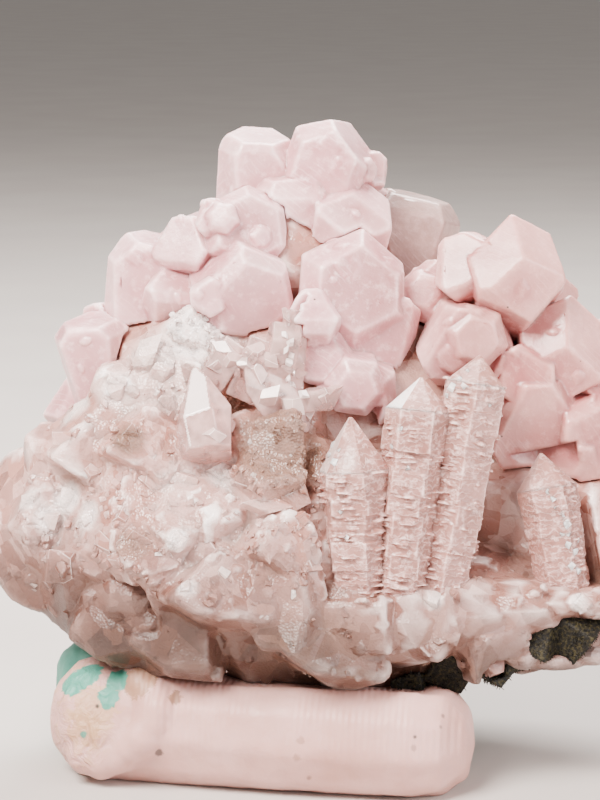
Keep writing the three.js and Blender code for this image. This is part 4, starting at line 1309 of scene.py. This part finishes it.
def makeDark():
    piece = copyOfNode("dark_mineral", "dark_fibres_and_shadow")
    weld(piece, 0.12, 4)
    chance = random.Random(needles["seed"])
    cone = {"vertices": 4, "radius1": 1 * mm, "radius2": 0.35 * mm, "depth": 1 * mm}
    needle = setAside(primitive(bpy.ops.mesh.primitive_cone_add, **cone))
    parts = []
    for polygon in chance.choices(piece.data.polygons, k=needles["count"]):
        lean = Vector((chance.gauss(0, 0.5), chance.gauss(-0.2, 0.3), chance.gauss(-0.4, 0.9)))
        out = (polygon.normal + lean).normalized()
        sizes = (needles["width"], needles["width"], chance.uniform(*needles["length"]))
        parts.append(posedCopy(needle, polygon.center, standing(out), sizes))
    joinTo(piece, linkAll(parts))
    finishPiece(piece, fibreAndShadow, "dark_mineral", "dark_mineral", shading=30)
    pocket = copyOfNode("pocket_crystal", "pocket_block")
    weld(pocket, 0.05, 2)
    noteRelief(pocket, broad=(20, 0.3), fine=(6, 0.06))
    finishPiece(pocket, greyCalcite, "grey_calcite", "pocket_crystal")


makeDark()

# Putty, in mm
putty = [
    {"node": "putty_roll", "name": "pale_putty_roll", "slot": "pale_putty",
     "voxel": 0.3, "smoothing": 6, "swell": 0.2, "knead": 0.35, "kneadSize": 3.6,
     # pixels along the fold around its left end, its half width and how far it stands out
     "foldWidth": 1.5, "foldProud": 0.95, "fold": [
         (140, 680), (150, 692), (155, 706), (151, 722), (142, 737), (131, 749), (117, 758), (101, 763),
         (84, 760)]},
    {"node": "teal_putty", "name": "teal_putty_roll", "slot": "teal_putty",
     "voxel": 0.32, "smoothing": 8, "swell": 0.2, "knead": 0.8, "kneadSize": 2.4, "fold": []},
]


def makePutty(roll):
    piece = copyOfNode(roll["node"], roll["name"])
    parts = []
    for pixel in roll["fold"]:
        found = fromPhoto(*pixel, roll["node"], hidden=True)
        if found:
            place = found[0] + found[1] * (roll["foldProud"] - roll["foldWidth"]) * mm
            parts.append(posedCopy(boss, place, Quaternion(), (roll["foldWidth"],) * 3))
    joinTo(piece, linkAll(parts))
    weld(piece, roll["voxel"], roll["smoothing"])
    displace(piece, "CLOUDS", roll["kneadSize"], roll["knead"], noise_depth=2)
    push(piece, roll["swell"])
    points = positions(piece)
    points[:, 2] = np.maximum(points[:, 2], 0)  # it lies flat on the ground
    moveTo(piece, points)
    return piece


for roll in putty:
    piece = makePutty(roll)
    material = kneadedPutty(paleLook, piece) if roll["slot"] == "pale_putty" else tealPutty()
    finishPiece(piece, material, roll["slot"], roll["node"])
print("pieces made")

# Studio
studio = {
    "floor": ("#bab3af", "#bfb9b4"), "world": "#e9e4e0", "worldStrength": 0.48,
    "lights": [
        # place and size in mm, watts, colour
        ("key", (-170, -190, 310), 190, 6.6, "#fff4ec"),
        ("fill", (260, -200, 150), 260, 2.1, "#fdf3f1"),
        ("top", (40, 160, 300), 200, 3.25, "#fffaf6"),
    ],
}


def paleFloor():
    material, add, point = newMaterial("pale painted board")
    noise = add("TexNoise", {"Vector": point, "Scale": 40, "Detail": 2})
    colour = layTones(add, studio["floor"][0], [(noise, 0.3, 0.7, 1, studio["floor"][1])])
    shader = add("BsdfPrincipled", {"Base Color": colour, "Roughness": 0.7})
    add("OutputMaterial", {"Surface": shader}, None)
    return material


floor = primitive(bpy.ops.mesh.primitive_plane_add, size=6, location=(0, 0, -0.02 * mm))
floor.name = "floor"
floor.data.materials.append(paleFloor())

world = bpy.data.worlds.new("pale room")
world.use_nodes = True
background = world.node_tree.nodes["Background"]
background.inputs["Color"].default_value = toLinear(studio["world"])
background.inputs["Strength"].default_value = studio["worldStrength"]
bpy.context.scene.world = world

for name, place, size, power, colour in studio["lights"]:
    light = bpy.data.lights.new(name, "AREA")
    light.size = size * mm
    light.energy = power
    light.color = toLinear(colour)[:3]
    lamp = bpy.data.objects.new(name, light)
    lamp.location = Vector(place) * mm
    lamp.rotation_euler = (target - lamp.location).to_track_quat("-Z", "Y").to_euler()
    linkAll([lamp])

lens = bpy.data.cameras.new("camera")
lens.lens = view["lens"]
lens.sensor_width = 36
lens.clip_start = 0.01
lens.clip_end = 20
camera = bpy.data.objects.new("camera", lens)
camera.location = eye
camera.rotation_euler = towards.to_track_quat("-Z", "Y").to_euler()
linkAll([camera])
bpy.context.scene.camera = camera
print("studio set")
